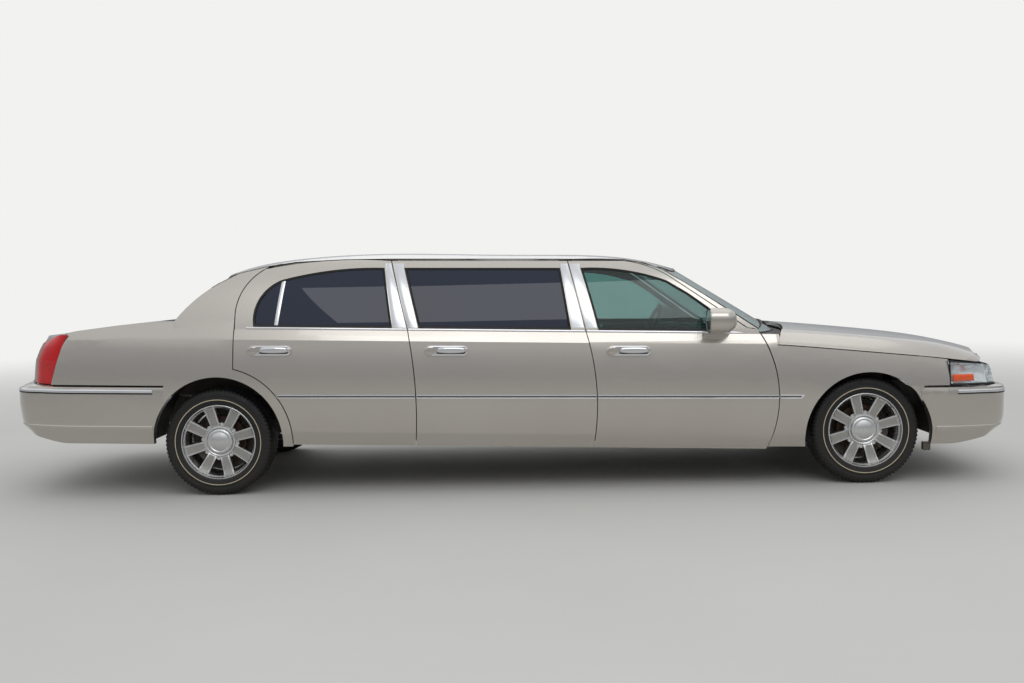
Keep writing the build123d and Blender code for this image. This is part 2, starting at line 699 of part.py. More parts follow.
def rear_bumper():
    """Rear bumper, ended by the wheel arches."""
    shape = bumper(REAR_BUMPER_PLAN)
    for y0, y1 in ((500.0, 1100.0), (-1100.0, -500.0)):
        shape -= arch_drum(REAR_ARCH_X, REAR_ARCH_Z, REAR_ARCH_RADIUS, y0, y1)
    shape -= block(REAR_ARCH_X - 340.0, -1000.0, -1100.0, 1100.0, 0.0, 900.0)
    for side in (1, -1):
        shape += block(-3272.0, -3226.0, side * (LID_STOP_Y - 20.0), side * (LID_STOP_Y + 20.0), 600.0, LID_LOW_Z - SEAT_GAP)
    return shape


def headlamps():
    """Both head lamps, wrapped round the front corners."""
    (x0, z0), (x1, z1) = HEADLAMP_TOP
    band = end_band(NOSE_PLAN, NOSE_RADII, 0.0, HEADLAMP_DEPTH, HEADLAMP_LOW_Z, z0)
    side = side_shape([(x0 + PANEL_GAP, HEADLAMP_LOW_Z), (x0 + PANEL_GAP, z0), (x1, z1), (x1, HEADLAMP_LOW_Z)])
    left = band & side_prism(side, HEADLAMP_INNER_Y, 1100.0)
    return left, flip(left)


def front_header(bonnet):
    """Panel behind the lamps with feet on the frame rails, seats for the grille and stops under the hood."""
    near = HEADLAMP_DEPTH + SEAT_GAP
    panel = end_band(NOSE_PLAN, NOSE_RADII, near, near + HEADER_WALL, 470.0, 770.0) & block(2760.0, 3500.0, -900.0, 900.0, 400.0, 900.0)
    for side in (1, -1):
        panel += block(3104.0, 3175.0, side * (RAIL_SPAN - BRACKET_HALF), side * (RAIL_SPAN + BRACKET_HALF), 428.6, 500.0)
        panel += block(3165.0, GRILLE_FRONT_X - GRILLE_DEPTH - SEAT_GAP, side * 300.0, side * 345.0, 650.0, 750.0)
        stop = rod((HOOD_STOP_X, side * HOOD_STOP_Y, 700.0), (HOOD_STOP_X, side * HOOD_STOP_Y, 950.0), HOOD_STOP_RADIUS)
        panel += (stop - Pos(0, 0, -SEAT_GAP) * bonnet).solids().sort_by(Axis.Z)[0]
    return panel


def grille():
    """Upright grille: a bright frame with vertical bars."""
    z0, z1 = GRILLE_Z
    x1 = GRILLE_FRONT_X
    frame = block(x1 - GRILLE_DEPTH, x1, -GRILLE_HALF_WIDTH, GRILLE_HALF_WIDTH, z0, z1)
    hole_y = GRILLE_HALF_WIDTH - GRILLE_FRAME
    frame -= block(x1 - GRILLE_DEPTH + 8.0, x1 + 1, -hole_y, hole_y, z0 + GRILLE_FRAME, z1 - GRILLE_FRAME)
    pitch = 2 * hole_y / (GRILLE_BARS + 1)
    for number in range(1, GRILLE_BARS + 1):
        y = -hole_y + number * pitch
        frame += block(x1 - GRILLE_DEPTH, x1 - 6.0, y - GRILLE_BAR_WIDTH / 2, y + GRILLE_BAR_WIDTH / 2, z0 + 4, z1 - 4)
    return frame


# Rear end


def rear_pillar(margin):
    """Left rear pillar beside the rear window, grown by a margin."""
    strip = along_body(glass_strip(-margin, PILLAR_WALL + margin), -2300.0, -1400.0)
    top_line = roof_edge(-margin)[1]
    start = (-1500.0, 1424.2 + margin)
    back_line = ThreePointArc(*[(x - margin, z + margin) for x, z in REAR_PILLAR_EDGE])
    low = (back_line @ 1).X
    face = make_face([Polyline(back_line @ 0, top_line @ 1, start, (-1500.0, 950.0), (low, 950.0), back_line @ 1), back_line])
    return strip & side_prism(face, 500.0, 1100.0)


def left_quarter():
    """Left rear quarter panel with the rear pillar, ended by the lamp and the bumper."""
    path = FilletPolyline((QUARTER_START_X, 0.0), (-2100.0, 0.0), (-3010.0, -84.0), radius=8000.0)
    edges = side_line(HALF_WIDTH, SHOULDER_Z + 14.0)
    inner = HALF_WIDTH - FENDER_WALL
    haunch = HALF_WIDTH - HAUNCH_REACH
    rest = Polyline(edges[-1] @ 1, (HALF_WIDTH - BEVEL_INSET, 965.0), (HALF_WIDTH - 78.0, 1075.0), (haunch, 1075.0),
                    (haunch, 960.0), (inner, 900.0), (inner, SILL_Z), edges[0] @ 0)
    wall = sweep(Plane.YZ.offset(QUARTER_START_X) * make_face(edges + [rest]), path=path)
    wall -= deck_prism(0.0, 400.0, -HALF_WIDTH, HALF_WIDTH)
    shape = wall + rear_pillar(0.0)
    ahead = side_prism(ahead_of_tail_seam(), 600.0, 1100.0)
    shape -= ahead - arch_drum(REAR_ARCH_X, REAR_ARCH_Z, REAR_DOOR_ARCH - PANEL_GAP / 2, 500.0, 1200.0)
    shape -= arch_drum(REAR_ARCH_X, REAR_ARCH_Z, REAR_ARCH_RADIUS, 600.0, 1100.0)
    shape -= block(-3500.0, REAR_ARCH_X - 340.0, 500.0, 1100.0, 0.0, BUMPER_TOP_Z + PANEL_GAP)
    (x_top, z_top), (x_low, z_low) = [(x + LAMP_SEAM, z) for x, z in TAILLAMP_FRONT]
    behind_lamp = side_shape([(x_top, z_top + 100.0), (x_top, z_top), (x_low, z_low), (-3500.0, z_low),
                              (-3500.0, z_top + 100.0)])
    shape -= side_prism(behind_lamp, 500.0, 1100.0)
    shape += left_rear_corner() + liner_tab(REAR_ARCH_X, REAR_ARCH_Z, REAR_ARCH_RADIUS) + rear_striker()
    shape -= block(LID_FRONT_X - 2000.0, LID_FRONT_X + PANEL_GAP, 0.0, LID_HALF_WIDTH + PANEL_GAP, 500.0, 1200.0)
    return shape


def rear_striker():
    """Striker behind the rear door's back edge, just clear of the door's inner face."""
    x0, x1, x2 = STRIKER_X
    stem = block(x0, x1, STRIKER_INNER_Y, HALF_WIDTH - FENDER_WALL + 9.0, *STRIKER_Z)
    return stem + block(x0, x2, STRIKER_INNER_Y, HALF_WIDTH - DOOR_WALL - SEAT_GAP, *STRIKER_Z)


def left_rear_corner():
    """Corner of the body behind the tail lamp, under the deck."""
    path = across(TAIL_PLAN, TAIL_RADII)
    plan = make_face([path, Line(path @ 0, path @ 1)])
    corner = extrude(Pos(0, 0, BUMPER_TOP_Z + PANEL_GAP) * plan, amount=400.0)
    lamp_space = end_band(TAIL_PLAN, TAIL_RADII, 0.0, TAILLAMP_DEPTH + LAMP_SEAM, BUMPER_TOP_Z, 1100.0)
    corner -= lamp_space
    corner -= deck_prism(0.0, 400.0, -HALF_WIDTH, HALF_WIDTH)
    return corner & block(-3400.0, TAILLAMP_FRONT[0][0] + 40.0, LID_HALF_WIDTH + PANEL_GAP, 880.0, 500.0, 1100.0)


def ahead_of_tail_seam():
    """Face in X and Z ahead of the rear door's back edge."""
    edges = seam("tail", -PANEL_GAP / 2)
    return make_face(edges + [Polyline(edges[0] @ 0, (-1000.0, SEAM_TOP_Z), (-1000.0, SEAM_LOW_Z), edges[-1] @ 1)])


def deck_z(x):
    """Height of the deck at x."""
    for (x0, z0), (x1, z1) in zip(DECK_LINE, DECK_LINE[1:]):
        if x1 <= x <= x0:
            return z0 + (z1 - z0) * (x - x0) / (x1 - x0)
    raise ValueError("x is off the deck")


def deck_prism(drop, height, y0, y1):
    """Space above the deck line, lowered by drop, up to a height above it."""
    line = [(x, z - drop) for x, z in DECK_LINE]
    roof = [(line[-1][0] - 200.0, line[-1][1]), (line[-1][0] - 200.0, 1050.0 + height),
            (line[0][0], 1050.0 + height)]
    return side_prism(side_shape(line + roof), y0, y1)


def lid_outline(drop, front_x, low_z):
    """Face in X and Z under the deck line, lowered by drop, from the lid's front to beyond the tail."""
    line = [(x, z - drop) for x, z in DECK_LINE if x < LID_FRONT_X]
    return side_shape(line + [(-3300.0, low_z), (front_x, low_z), (front_x, deck_z(LID_FRONT_X) - drop)])


def trunk_lid():
    """Trunk lid: sloping top and a bowed rear face, in one shell."""
    y = LID_HALF_WIDTH
    bow = Pos(LID_REAR_X + LID_REAR_BOW, 0, LID_LOW_Z - 100.0) * extrude(Circle(LID_REAR_BOW), amount=600.0)
    outer = side_prism(lid_outline(0.0, LID_FRONT_X, LID_LOW_Z), -y, y) & bow
    hollow = side_prism(lid_outline(LID_THICKNESS, LID_FRONT_X + 50.0, LID_LOW_Z - 60.0), -y - 10.0, y + 10.0)
    return outer - (hollow & (Pos(LID_THICKNESS, 0, 0) * bow))


def tail_lamps():
    """Both tail lamps, wrapped round the rear corners."""
    band = end_band(TAIL_PLAN, TAIL_RADII, 0.0, TAILLAMP_DEPTH, *TAILLAMP_Z)
    (x_top, z_top), (x_low, z_low) = TAILLAMP_FRONT
    side = side_prism(side_shape([(x_top, z_top), (x_low, z_low), (-3500.0, z_low), (-3500.0, z_top)]), 0.0, 1100.0)
    side -= deck_prism(0.0, 400.0, -HALF_WIDTH, HALF_WIDTH)
    left = band & side & block(-3500.0, -2800.0, LID_HALF_WIDTH + PANEL_GAP, 1100.0, 500.0, 1100.0)
    return left, flip(left)


# Body shell


def roof_section(half_width, edge_z, crown_z):
    """Closed crowned section of the roof, thin at its edges."""
    top = ThreePointArc((-half_width, edge_z), (0, crown_z), (half_width, edge_z))
    low = edge_z - ROOF_EDGE_THICKNESS
    under = ThreePointArc((-half_width, low), (0, crown_z - ROOF_THICKNESS), (half_width, low))
    return make_face([top, under, Line(top @ 0, under @ 0), Line(top @ 1, under @ 1)])


def above_roof_section(half_width, edge_z, crown_z):
    """Closed section of the air above the roof."""
    top = ThreePointArc((-half_width, edge_z), (0, crown_z), (half_width, edge_z))
    sky = edge_z + 500.0
    return make_face([top, Polyline((half_width, edge_z), (half_width, sky), (-half_width, sky), (-half_width, edge_z))])


def roof():
    """Roof panel, trimmed to the windscreen, the rear window, the doors and the rear pillars."""
    panel = loft([Plane.YZ.offset(x) * roof_section(*sizes) for x, *sizes in ROOF_STATIONS])
    panel -= beyond_glass(SCREEN_FOOT, SCREEN_HEAD, SCREEN_BOW)
    panel -= beyond_glass(BACKLIGHT_FOOT, BACKLIGHT_HEAD, BACKLIGHT_BOW)
    for side in (side_prism(under_roof_edge(), CANT_RAIL_Y[1], 1100.0), rear_pillar(SEAT_GAP)):
        panel -= side
        panel -= flip(side)
    return panel


def above_roof():
    """The air above the roof, which ends the glass at its head."""
    return loft([Plane.YZ.offset(x) * above_roof_section(*sizes) for x, *sizes in ROOF_STATIONS])


def door_post(name):
    """Left post between two doors, behind their frames, from sill to roof."""
    top_x, belt_x, moulding_x, sill_x = SEAMS[name]
    half = POST_WIDTH / 2
    strip = along_body(glass_strip(FRAME_WALL + POST_GAP, FRAME_WALL + POST_GAP + POST_WALL), *SIDE_SPAN)
    face = side_shape([(top_x - half, 1448.0), (top_x + half, 1448.0), (belt_x + half, POST_STEP_Z),
                       (belt_x - half, POST_STEP_Z)])
    upper = strip & side_prism(face, 500.0, 1100.0)
    lower = block(moulding_x - half, moulding_x + half, POST_INNER_Y, SILL_OUTER_Y, SILL_TOP_Z - 20.0,
                  POST_STEP_Z + 30.0)
    lower += block(belt_x - half, moulding_x + half, POST_INNER_Y, SILL_OUTER_Y, POST_STEP_Z, POST_STEP_Z + 30.0)
    lower += block(moulding_x + DOOR_STEP + 4.0, moulding_x + half, POST_INNER_Y, HALF_WIDTH - DOOR_WALL - SEAT_GAP,
                   *POST_STRIKER_Z)
    return upper + lower


def windscreen_pillar():
    """Left pillar between the windscreen and the front door's frame."""
    arc = seam("cowl", PANEL_GAP / 2)[1]
    head, bend, foot = PILLAR_LINE
    low = shifted(COWL_FRAME, PANEL_GAP / 2, 1.0)[-1]
    start = arc @ 0
    face = make_face([arc, Polyline(arc @ 1, low, foot, bend, head, (start.X, head[1]), start)])
    return along_body(glass_strip(0.0, PILLAR_WALL), 500.0, 1750.0) & side_prism(face, 500.0, 1100.0)


def cowl_top():
    """Level panel between the windscreen foot and the hood's rear edge."""
    side_x, centre_x = HOOD_REAR_EDGE
    ahead = ThreePointArc((side_x[0] - PANEL_GAP, side_x[1]), (centre_x[0] - PANEL_GAP, 0.0),
                          (side_x[0] - PANEL_GAP, -side_x[1]))
    plan = make_face([ahead, Polyline(ahead @ 0, (COWL_PLATE_X, side_x[1]), (COWL_PLATE_X, -side_x[1]), ahead @ 1)])
    plate = extrude(Pos(0, 0, SCREEN_LOW_Z - 22.0) * plan, amount=22.0 - SEAT_GAP)
    plate = plate & block(1500.0, 2000.0, -COWL_HALF_WIDTH, COWL_HALF_WIDTH, 900.0, 1000.0)
    reach = HALF_WIDTH - DOOR_WALL - SEAT_GAP
    return plate + block(COWL_PLATE_X, COWL_PLATE_X + 76.0, -reach, reach, SCREEN_LOW_Z - 22.0, SCREEN_LOW_Z - SEAT_GAP)


def cabin_shell():
    """Roof, pillars, sills, bulkhead and shelf of the cabin as one welded shell."""
    shell = roof()
    half_parts = [
        block(-1600.0, 900.0, CANT_RAIL_Y[0], CANT_RAIL_Y[1], 1400.0, 1452.0),
        door_post("front"), door_post("rear"), windscreen_pillar(),
        block(-1400.0, 1640.0, SILL_INNER_Y, SILL_OUTER_Y, 270.0, SILL_TOP_Z),
        block(HINGE_POST_X[0], HINGE_POST_X[1], SILL_INNER_Y, HINGE_POST_Y, 380.0, SCREEN_LOW_Z - 4.0),
    ]
    for part in half_parts:
        shell += part
        shell += flip(part)
    bulkhead = block(1600.0, 1640.0, -SILL_INNER_Y - 10.0, SILL_INNER_Y + 10.0, FLOOR_Z, SCREEN_LOW_Z - 10.0)
    gearbox_way = block(1590.0, 1650.0, -TUNNEL[0][2], TUNNEL[0][2], 300.0, FLOOR_Z + TUNNEL[0][3])
    shell += bulkhead - gearbox_way
    shell += cowl_top()
    return shell


def rear_shelf():
    """Parcel shelf between the rear window and the rear seat."""
    y = HALF_WIDTH - HAUNCH_REACH - SHELF_SIDE_GAP
    tab = HALF_WIDTH - HAUNCH_REACH - 0.6
    return block(-2350.0, -1800.0, -y, y, 1000.0, 1030.0) + block(*SHELF_TAB_X, -tab, tab, 1000.0, 1030.0)


def windscreen():
    """Bowed windscreen between the front pillars."""
    pane = slanted_glass(SCREEN_FOOT, SCREEN_HEAD, SCREEN_BOW)
    return pane & cabin_core(PILLAR_WALL + SEAT_GAP, SCREEN_LOW_Z, 1500.0, 600.0, 1900.0) - above_roof()


def rear_window():
    """Bowed rear window between the rear pillars."""
    pane = slanted_glass(BACKLIGHT_FOOT, BACKLIGHT_HEAD, BACKLIGHT_BOW)
    return pane & cabin_core(PILLAR_WALL + SEAT_GAP, BACKLIGHT_LOW_Z, 1500.0, -2400.0, -1500.0) - above_roof()


def glass_plane(foot, head):
    """Plane at the foot of a slanted window, square to its slope, and the window's length."""
    start = Vector(foot[0], 0, foot[1])
    rise = Vector(head[0], 0, head[1]) - start
    return Plane(origin=start, x_dir=(0, 1, 0), z_dir=rise.normalized()), rise.length


def bow_arc(plane, bow, depth):
    """Arc across a slanted window in its own plane, moved into the car by depth."""
    inward_sign = 1.0 if plane.y_dir.X * plane.origin.X < 0 else -1.0
    sag = bow - (bow ** 2 - SCREEN_REACH ** 2) ** 0.5
    return ThreePointArc((-SCREEN_REACH, inward_sign * (sag + depth)), (0, inward_sign * depth),
                         (SCREEN_REACH, inward_sign * (sag + depth))), inward_sign


def slanted_glass(foot, head, bow):
    """Bowed sheet of glass along a slope, longer than the opening at both ends."""
    plane, length = glass_plane(foot, head)
    outer, sign = bow_arc(plane, bow, 0.0)
    inner, sign = bow_arc(plane, bow, SCREEN_THICKNESS)
    face = make_face([outer, inner, Line(outer @ 0, inner @ 0), Line(outer @ 1, inner @ 1)])
    return Pos(*(plane.z_dir * -300.0)) * extrude(plane * face, amount=length + 600.0)


def beyond_glass(foot, head, bow):
    """Space outside a slanted window, reaching in to just under the glass."""
    plane, length = glass_plane(foot, head)
    inner, sign = bow_arc(plane, bow, SCREEN_THICKNESS + SCREEN_GAP)
    far = -sign * 900.0
    face = make_face([inner, Polyline(inner @ 0, (-SCREEN_REACH, far), (SCREEN_REACH, far), inner @ 1)])
    return Pos(*(plane.z_dir * -300.0)) * extrude(plane * face, amount=length + 600.0)


# Frame and running gear


def frame_rail():
    """Left frame rail with its rise over the rear axle."""
    low = [(3150.0, 300.0), (1680.0, RAIL_LOW_Z), (-1330.0, RAIL_LOW_Z), (-1560.0, 402.0), (-2260.0, 402.0),
           (-2450.0, 334.0), (-3120.0, 334.0)]
    depth = RAIL_HIGH_Z - RAIL_LOW_Z
    face = side_shape(low + [(x, z + depth) for x, z in reversed(low)])
    return side_prism(face, RAIL_SPAN - RAIL_WIDTH / 2, RAIL_SPAN + RAIL_WIDTH / 2)


def chassis_frame():
    """Ladder frame: two rails and the cross members that join them."""
    rail = frame_rail()
    frame = rail + flip(rail)
    inner = RAIL_SPAN
    for x, z0, z1 in CROSS_MEMBERS:
        frame += block(x - CROSS_WIDTH / 2, x + CROSS_WIDTH / 2, -inner, inner, z0, z1)
    for side in (1, -1):
        y0, y1 = side * (RAIL_SPAN - BRACKET_HALF), side * (RAIL_SPAN + BRACKET_HALF)
        frame += block(3080.0, BRACKET_REACH, y0, y1, *FRONT_BRACKET_Z)
        frame += block(-BRACKET_REACH, -3060.0, y0, y1, *REAR_BRACKET_Z)
    for x in BODY_MOUNTS:
        for side in (1, -1):
            frame += block(x - 45.0, x + 45.0, side * RAIL_SPAN, side * SILL_INNER_Y, RAIL_HIGH_Z - 40.0, RAIL_HIGH_Z)
    return frame


def floor_pan():
    """Floor of the cabin and trunk with the tunnel, the rise over the rear axle and the side flanges."""
    top = [(1640.0, FLOOR_Z), (-1330.0, FLOOR_Z), (-1560.0, FLOOR_Z + REAR_FLOOR_RISE), (-3150.0, FLOOR_Z + REAR_FLOOR_RISE)]
    slab = side_prism(side_shape(top + [(x, z - FLOOR_THICKNESS) for x, z in reversed(top)]), -SILL_INNER_Y, SILL_INNER_Y)
    trim = block(-3200.0, -1450.0, 600.0, 900.0, 300.0, 800.0)
    slab = slab - trim - flip(trim)
    for x0, x1, half, height in TUNNEL:
        slab -= block(x0, x1, -half + 4.0, half - 4.0, FLOOR_Z - 20.0, FLOOR_Z + 4.0)
        slab += block(x0, x1, -half, half, FLOOR_Z - FLOOR_THICKNESS, FLOOR_Z + height) \
            - block(x0 - 1.0, x1 + 1.0, -half + 5.0, half - 5.0, FLOOR_Z - 20.0, FLOOR_Z + height - 5.0)
    return slab


def engine_block():
    """Engine and gearbox as one plain block on the front cross member."""
    engine = block(1960.0, 2640.0, -270.0, 270.0, 402.0, 860.0)
    gearbox = block(1190.0, 1960.0, -150.0, 150.0, 330.0, 520.0)
    return fillet(engine.edges().filter_by(Axis.X), 60.0) + gearbox


def pipe_run(points, radius, bore):
    """Bent pipe along straight runs joined by arcs."""
    path = FilletPolyline(*points, radius=PIPE_BEND)
    plane = Plane(origin=path @ 0, z_dir=path % 0)
    return sweep(plane * (Circle(radius) - Circle(bore)), path=path)


def exhaust():
    """Exhaust pipe along the right side with a silencer and an open tail pipe."""
    y = EXHAUST_Y
    front = pipe_run([(1500.0, y, EXHAUST_Z), (-1400.0, y, EXHAUST_Z), (-1640.0, y, 438.0), (-2160.0, y, 438.0),
                      (-2330.0, y, 396.0), (-2420.0, y, 396.0)], PIPE_RADIUS, PIPE_RADIUS - 3.0)
    silencer = rod((-2400.0, y, 396.0), (-2900.0, y, 396.0), SILENCER_RADIUS)
    tail = rod((-2890.0, y, TAILPIPE_Z), (TAILPIPE_END_X, y, TAILPIPE_Z), PIPE_RADIUS)
    tail -= rod((TAILPIPE_END_X + TAILPIPE_DEPTH, y, TAILPIPE_Z), (TAILPIPE_END_X - 1.0, y, TAILPIPE_Z), TAILPIPE_BORE)
    hanger = rod((-2650.0, y, 440.0), (-2650.0, y, FLOOR_Z + REAR_FLOOR_RISE - FLOOR_THICKNESS - SEAT_GAP), 8.0)
    return front + silencer + tail + hanger


def driveshaft():
    """Shaft from the gearbox to the rear axle."""
    return rod((1188.0, 0.0, 425.0), (-1728.0, 0.0, 306.0), 36.0)


def fuel_tank():
    """Plain tank between the rails behind the axle."""
    return block(-2900.0, -2340.0, -130.0, 385.0, 345.0, FLOOR_Z + REAR_FLOOR_RISE - FLOOR_THICKNESS)


def rear_axle():
    """Rear axle in the ground frame: tube, centre housing, spindles and brake calipers."""
    tube = rod((REAR_AXLE_X, -690.0, TYRE_RADIUS), (REAR_AXLE_X, 690.0, TYRE_RADIUS), 42.0)
    housing = Pos(REAR_AXLE_X, 0, TYRE_RADIUS) * Sphere(118.0)
    end = REAR_TRACK / 2 + SPINDLE_REACH
    spindles = rod((REAR_AXLE_X, -end, TYRE_RADIUS), (REAR_AXLE_X, end, TYRE_RADIUS), SPINDLE_RADIUS)
    nose = rod((REAR_AXLE_X, 0.0, PINION_Z), (PINION_X, 0.0, PINION_Z), 40.0)
    axle = tube + housing + spindles + nose
    for side in (1, -1):
        axle += rod((REAR_AXLE_X, side * RAIL_SPAN, TYRE_RADIUS), (REAR_AXLE_X, side * RAIL_SPAN, SPRING_TOP_Z), SPRING_RADIUS)
    caliper = Pos(REAR_AXLE_X, REAR_TRACK / 2, TYRE_RADIUS) * brake_caliper(150.0)
    return axle + caliper + flip(caliper)


def brake_caliper(angle):
    """Caliper astride the disc, at an angle round the axle, with its bracket to the hub carrier."""
    ring = Cylinder(CALIPER_OUTER, CALIPER_WIDTH) - Cylinder(CALIPER_INNER, 2 * CALIPER_WIDTH)
    slot = Cylinder(DISC_RADIUS + CALIPER_GAP + 1.0, DISC_THICKNESS + 2 * CALIPER_GAP)
    wedge = make_sector(CALIPER_OUTER + 20.0, CALIPER_ANGLE, 2 * CALIPER_WIDTH)
    body = (Pos(0, 0, CALIPER_SHIFT) * ring - Pos(0, 0, DISC_OFFSET) * slot) & wedge
    inner_face = DISC_OFFSET - DISC_THICKNESS / 2 - CALIPER_GAP
    back = block(CALIPER_INNER - 10.0, CALIPER_OUTER - 2.0, -34.0, 34.0, -78.0, inner_face)
    bracket = block(10.0, CALIPER_OUTER - 20.0, -18.0, 18.0, BRACKET_BACK, BRACKET_BACK + 26.0)
    return Rot(-90, 0, 0) * Rot(0, 0, angle) * (body + back + bracket)


def make_sector(radius, angle, height):
    """Wedge about the local Z axis, centred on local X."""
    reach = radius * tan(radians(angle / 2))
    return extrude(make_face(Polyline((0, 0), (radius, reach), (radius, -reach), close=True)), amount=height / 2, both=True)


def left_suspension():
    """Left control arms and the spring tower beside the frame."""
    x = FRONT_AXLE_X
    def arm(z, tip_y):
        plan = Polyline((x - 130.0, ARM_ROOT_Y), (x + 130.0, ARM_ROOT_Y), (x + 24.0, tip_y), (x - 24.0, tip_y), close=True)
        return extrude(Pos(0, 0, z) * make_face(plan), amount=22.0)
    tower = block(x - 60.0, x + 60.0, ARM_ROOT_Y, 500.0, ARM_LOW_Z, ARM_HIGH_Z + 22.0)
    return arm(ARM_LOW_Z, KINGPIN_Y - KINGPIN_RADIUS - SEAT_GAP) + arm(ARM_HIGH_Z, KINGPIN_Y - KINGPIN_RADIUS - SEAT_GAP) + tower


def left_knuckle():
    """Left steering knuckle in the ground frame, with its spindle, arm and brake caliper."""
    x = FRONT_AXLE_X
    post = rod((x, KINGPIN_Y, ARM_LOW_Z - 8.0), (x, KINGPIN_Y, ARM_HIGH_Z + 30.0), KINGPIN_RADIUS)
    spindle = rod((x, KINGPIN_Y, TYRE_RADIUS), (x, FRONT_TRACK / 2 + SPINDLE_REACH, TYRE_RADIUS), SPINDLE_RADIUS)
    arm = block(x - 150.0, x, KINGPIN_Y - 20.0, KINGPIN_Y + 4.0, 318.0, 340.0)
    caliper = Pos(x, FRONT_TRACK / 2, TYRE_RADIUS) * brake_caliper(20.0)
    return post + spindle + arm + caliper


# Wheels, drawn about the local Z axis with the outer face up


def wheel_rim():
    """Rim with its well, eight spokes, hub with lug bores, cap and brake disc."""
    half = RIM_WIDTH / 2
    profile = ((RIM_RADIUS, half), (RIM_RADIUS, half - 8.0), (RIM_SEAT_RADIUS, half - 12.0),
               (RIM_SEAT_RADIUS, half - 44.0), (RIM_WELL_RADIUS, half - 60.0), (RIM_WELL_RADIUS, -half + 50.0),
               (RIM_SEAT_RADIUS, -half + 34.0), (RIM_SEAT_RADIUS, -half + 12.0), (RIM_RADIUS, -half + 8.0),
               (RIM_RADIUS, -half), (RIM_SEAT_RADIUS - RIM_WALL, -half), (RIM_SEAT_RADIUS - RIM_WALL, -half + 38.0),
               (RIM_WELL_RADIUS - RIM_WALL, -half + 54.0), (RIM_WELL_RADIUS - RIM_WALL, half - 64.0),
               (RIM_SEAT_RADIUS - RIM_WALL, half - 48.0), (RIM_SEAT_RADIUS - RIM_WALL, half))
    barrel = revolve(Plane.XZ * make_face(Polyline(*profile, close=True)), Axis.Z)
    hub = Pos(0, 0, (HUB_FACE + HUB_BACK) / 2) * Cylinder(HUB_RADIUS, HUB_FACE - HUB_BACK)
    centre = Pos(0, 0, (HUB_FACE + SPOKE_FACE) / 2) * Cylinder(CENTRE_RADIUS, SPOKE_FACE - HUB_FACE)
    disc = Pos(0, 0, DISC_OFFSET) * Cylinder(DISC_RADIUS, DISC_THICKNESS)
    rim = barrel + centre
    for number in range(SPOKES):
        rim += Rot(0, 0, SPOKE_PHASE + number * 360.0 / SPOKES) * spoke()
    for number in range(LUG_COUNT):
        rim -= Rot(0, 0, number * 360.0 / LUG_COUNT) * Pos(LUG_CIRCLE / 2, 0, 40) * Cylinder(LUG_BORE / 2, 140.0)
    rim += hub + disc
    for number in range(LUG_COUNT):
        rim -= Rot(0, 0, number * 360.0 / LUG_COUNT) * Pos(LUG_CIRCLE / 2, 0, HUB_FACE) * Cylinder(LUG_BORE / 2, 40.0)
    rim -= Pos(0, 0, -60) * Cylinder(SPINDLE_RADIUS + SEAT_GAP, 2 * (SPINDLE_REACH + 60 + SEAT_GAP))
    return rim


def spoke():
    """One flat spoke from the hub to the rim, leaning outwards a little."""
    inner = CENTRE_RADIUS - 12.0
    outer = RIM_SEAT_RADIUS - 3.0
    side = side_shape([(inner, SPOKE_FACE - SPOKE_DEPTH), (inner, SPOKE_FACE), (outer, SPOKE_FACE + 14.0),
                       (outer, SPOKE_FACE + 14.0 - SPOKE_DEPTH)])
    return side_prism(side, -SPOKE_WIDTH / 2, SPOKE_WIDTH / 2)


def tyre():
    """Tyre with rounded shoulders, closed on the rim's seats."""
    half = TYRE_WIDTH / 2
    profile = ((RIM_SEAT_RADIUS + SEAT_GAP, RIM_WIDTH / 2 - 24.0), (RIM_RADIUS + 26.0, half), (TYRE_RADIUS - TYRE_SHOULDER_DROP, half),
               (TYRE_RADIUS, TREAD_WIDTH / 2))
    points = list(profile) + [(r, -z) for r, z in reversed(profile)]
    return revolve(Plane.XZ * make_face(Polyline(*points, close=True)), Axis.Z)


def place_wheel(shape, x, y):
    """Stand a wheel at its axle with its outer face away from the car."""
    turn = Rot(-90, 0, 0) if y > 0 else Rot(90, 0, 0)
    return Pos(x, y, TYRE_RADIUS) * turn * shape


# Cabin fittings


def dashboard():
    """Dashboard across the cabin under the windscreen."""
    face = side_shape([(1599.7, 720.0), (1599.7, 955.0), (1420.0, 962.0), (1320.0, 940.0), (1290.0, 800.0), (1380.0, 700.0)])
    shape = side_prism(face, -SILL_INNER_Y + 6.0, SILL_INNER_Y - 6.0)
    x, y, z = STEERING_CENTRE
    return shape - Pos(x, y, z) * column_turn() * Pos(0, 0, -STEERING_COLUMN) * Cylinder(COLUMN_RADIUS + SEAT_GAP, STEERING_COLUMN + 60.0)


def column_turn():
    """Turn from upright to the slope of the steering column."""
    return Rot(0, -90.0 + STEERING_TILT, 0) * Rot(0, 0, -90.0)


def steering_wheel():
    """Steering wheel with its column, about the column line."""
    ring = Torus(STEERING_RADIUS, STEERING_GRIP)
    hub = Cylinder(52.0, 40.0)
    bars = Box(2 * STEERING_RADIUS, 34.0, 16.0) + Pos(0, -STEERING_RADIUS / 2, 0) * Box(34.0, STEERING_RADIUS, 16.0)
    column = Pos(0, 0, -STEERING_COLUMN / 2) * Cylinder(COLUMN_RADIUS, STEERING_COLUMN)
    x, y, z = STEERING_CENTRE
    return Pos(x, y, z) * column_turn() * (ring + hub + bars + column)


def seat(x, y0, y1, reach, height):
    """Seat with its base, cushion and leaning back; x is the foot of the back."""
    top = FLOOR_Z + height
    cushion = side_shape([(x - 40.0, top - 120.0), (x + reach, top - 100.0), (x + reach, top + 16.0), (x + 60.0, top - 10.0),
                          (x - 70.0, top + 560.0), (x - 190.0, top + 560.0), (x - 100.0, top - 60.0)])
    solid = side_prism(cushion, y0, y1)
    base = block(max(x - 20.0, FLAT_FLOOR_X), x + reach - 60.0, y0 + 40.0, y1 - 40.0, FLOOR_Z, top - 90.0)
    return solid + base


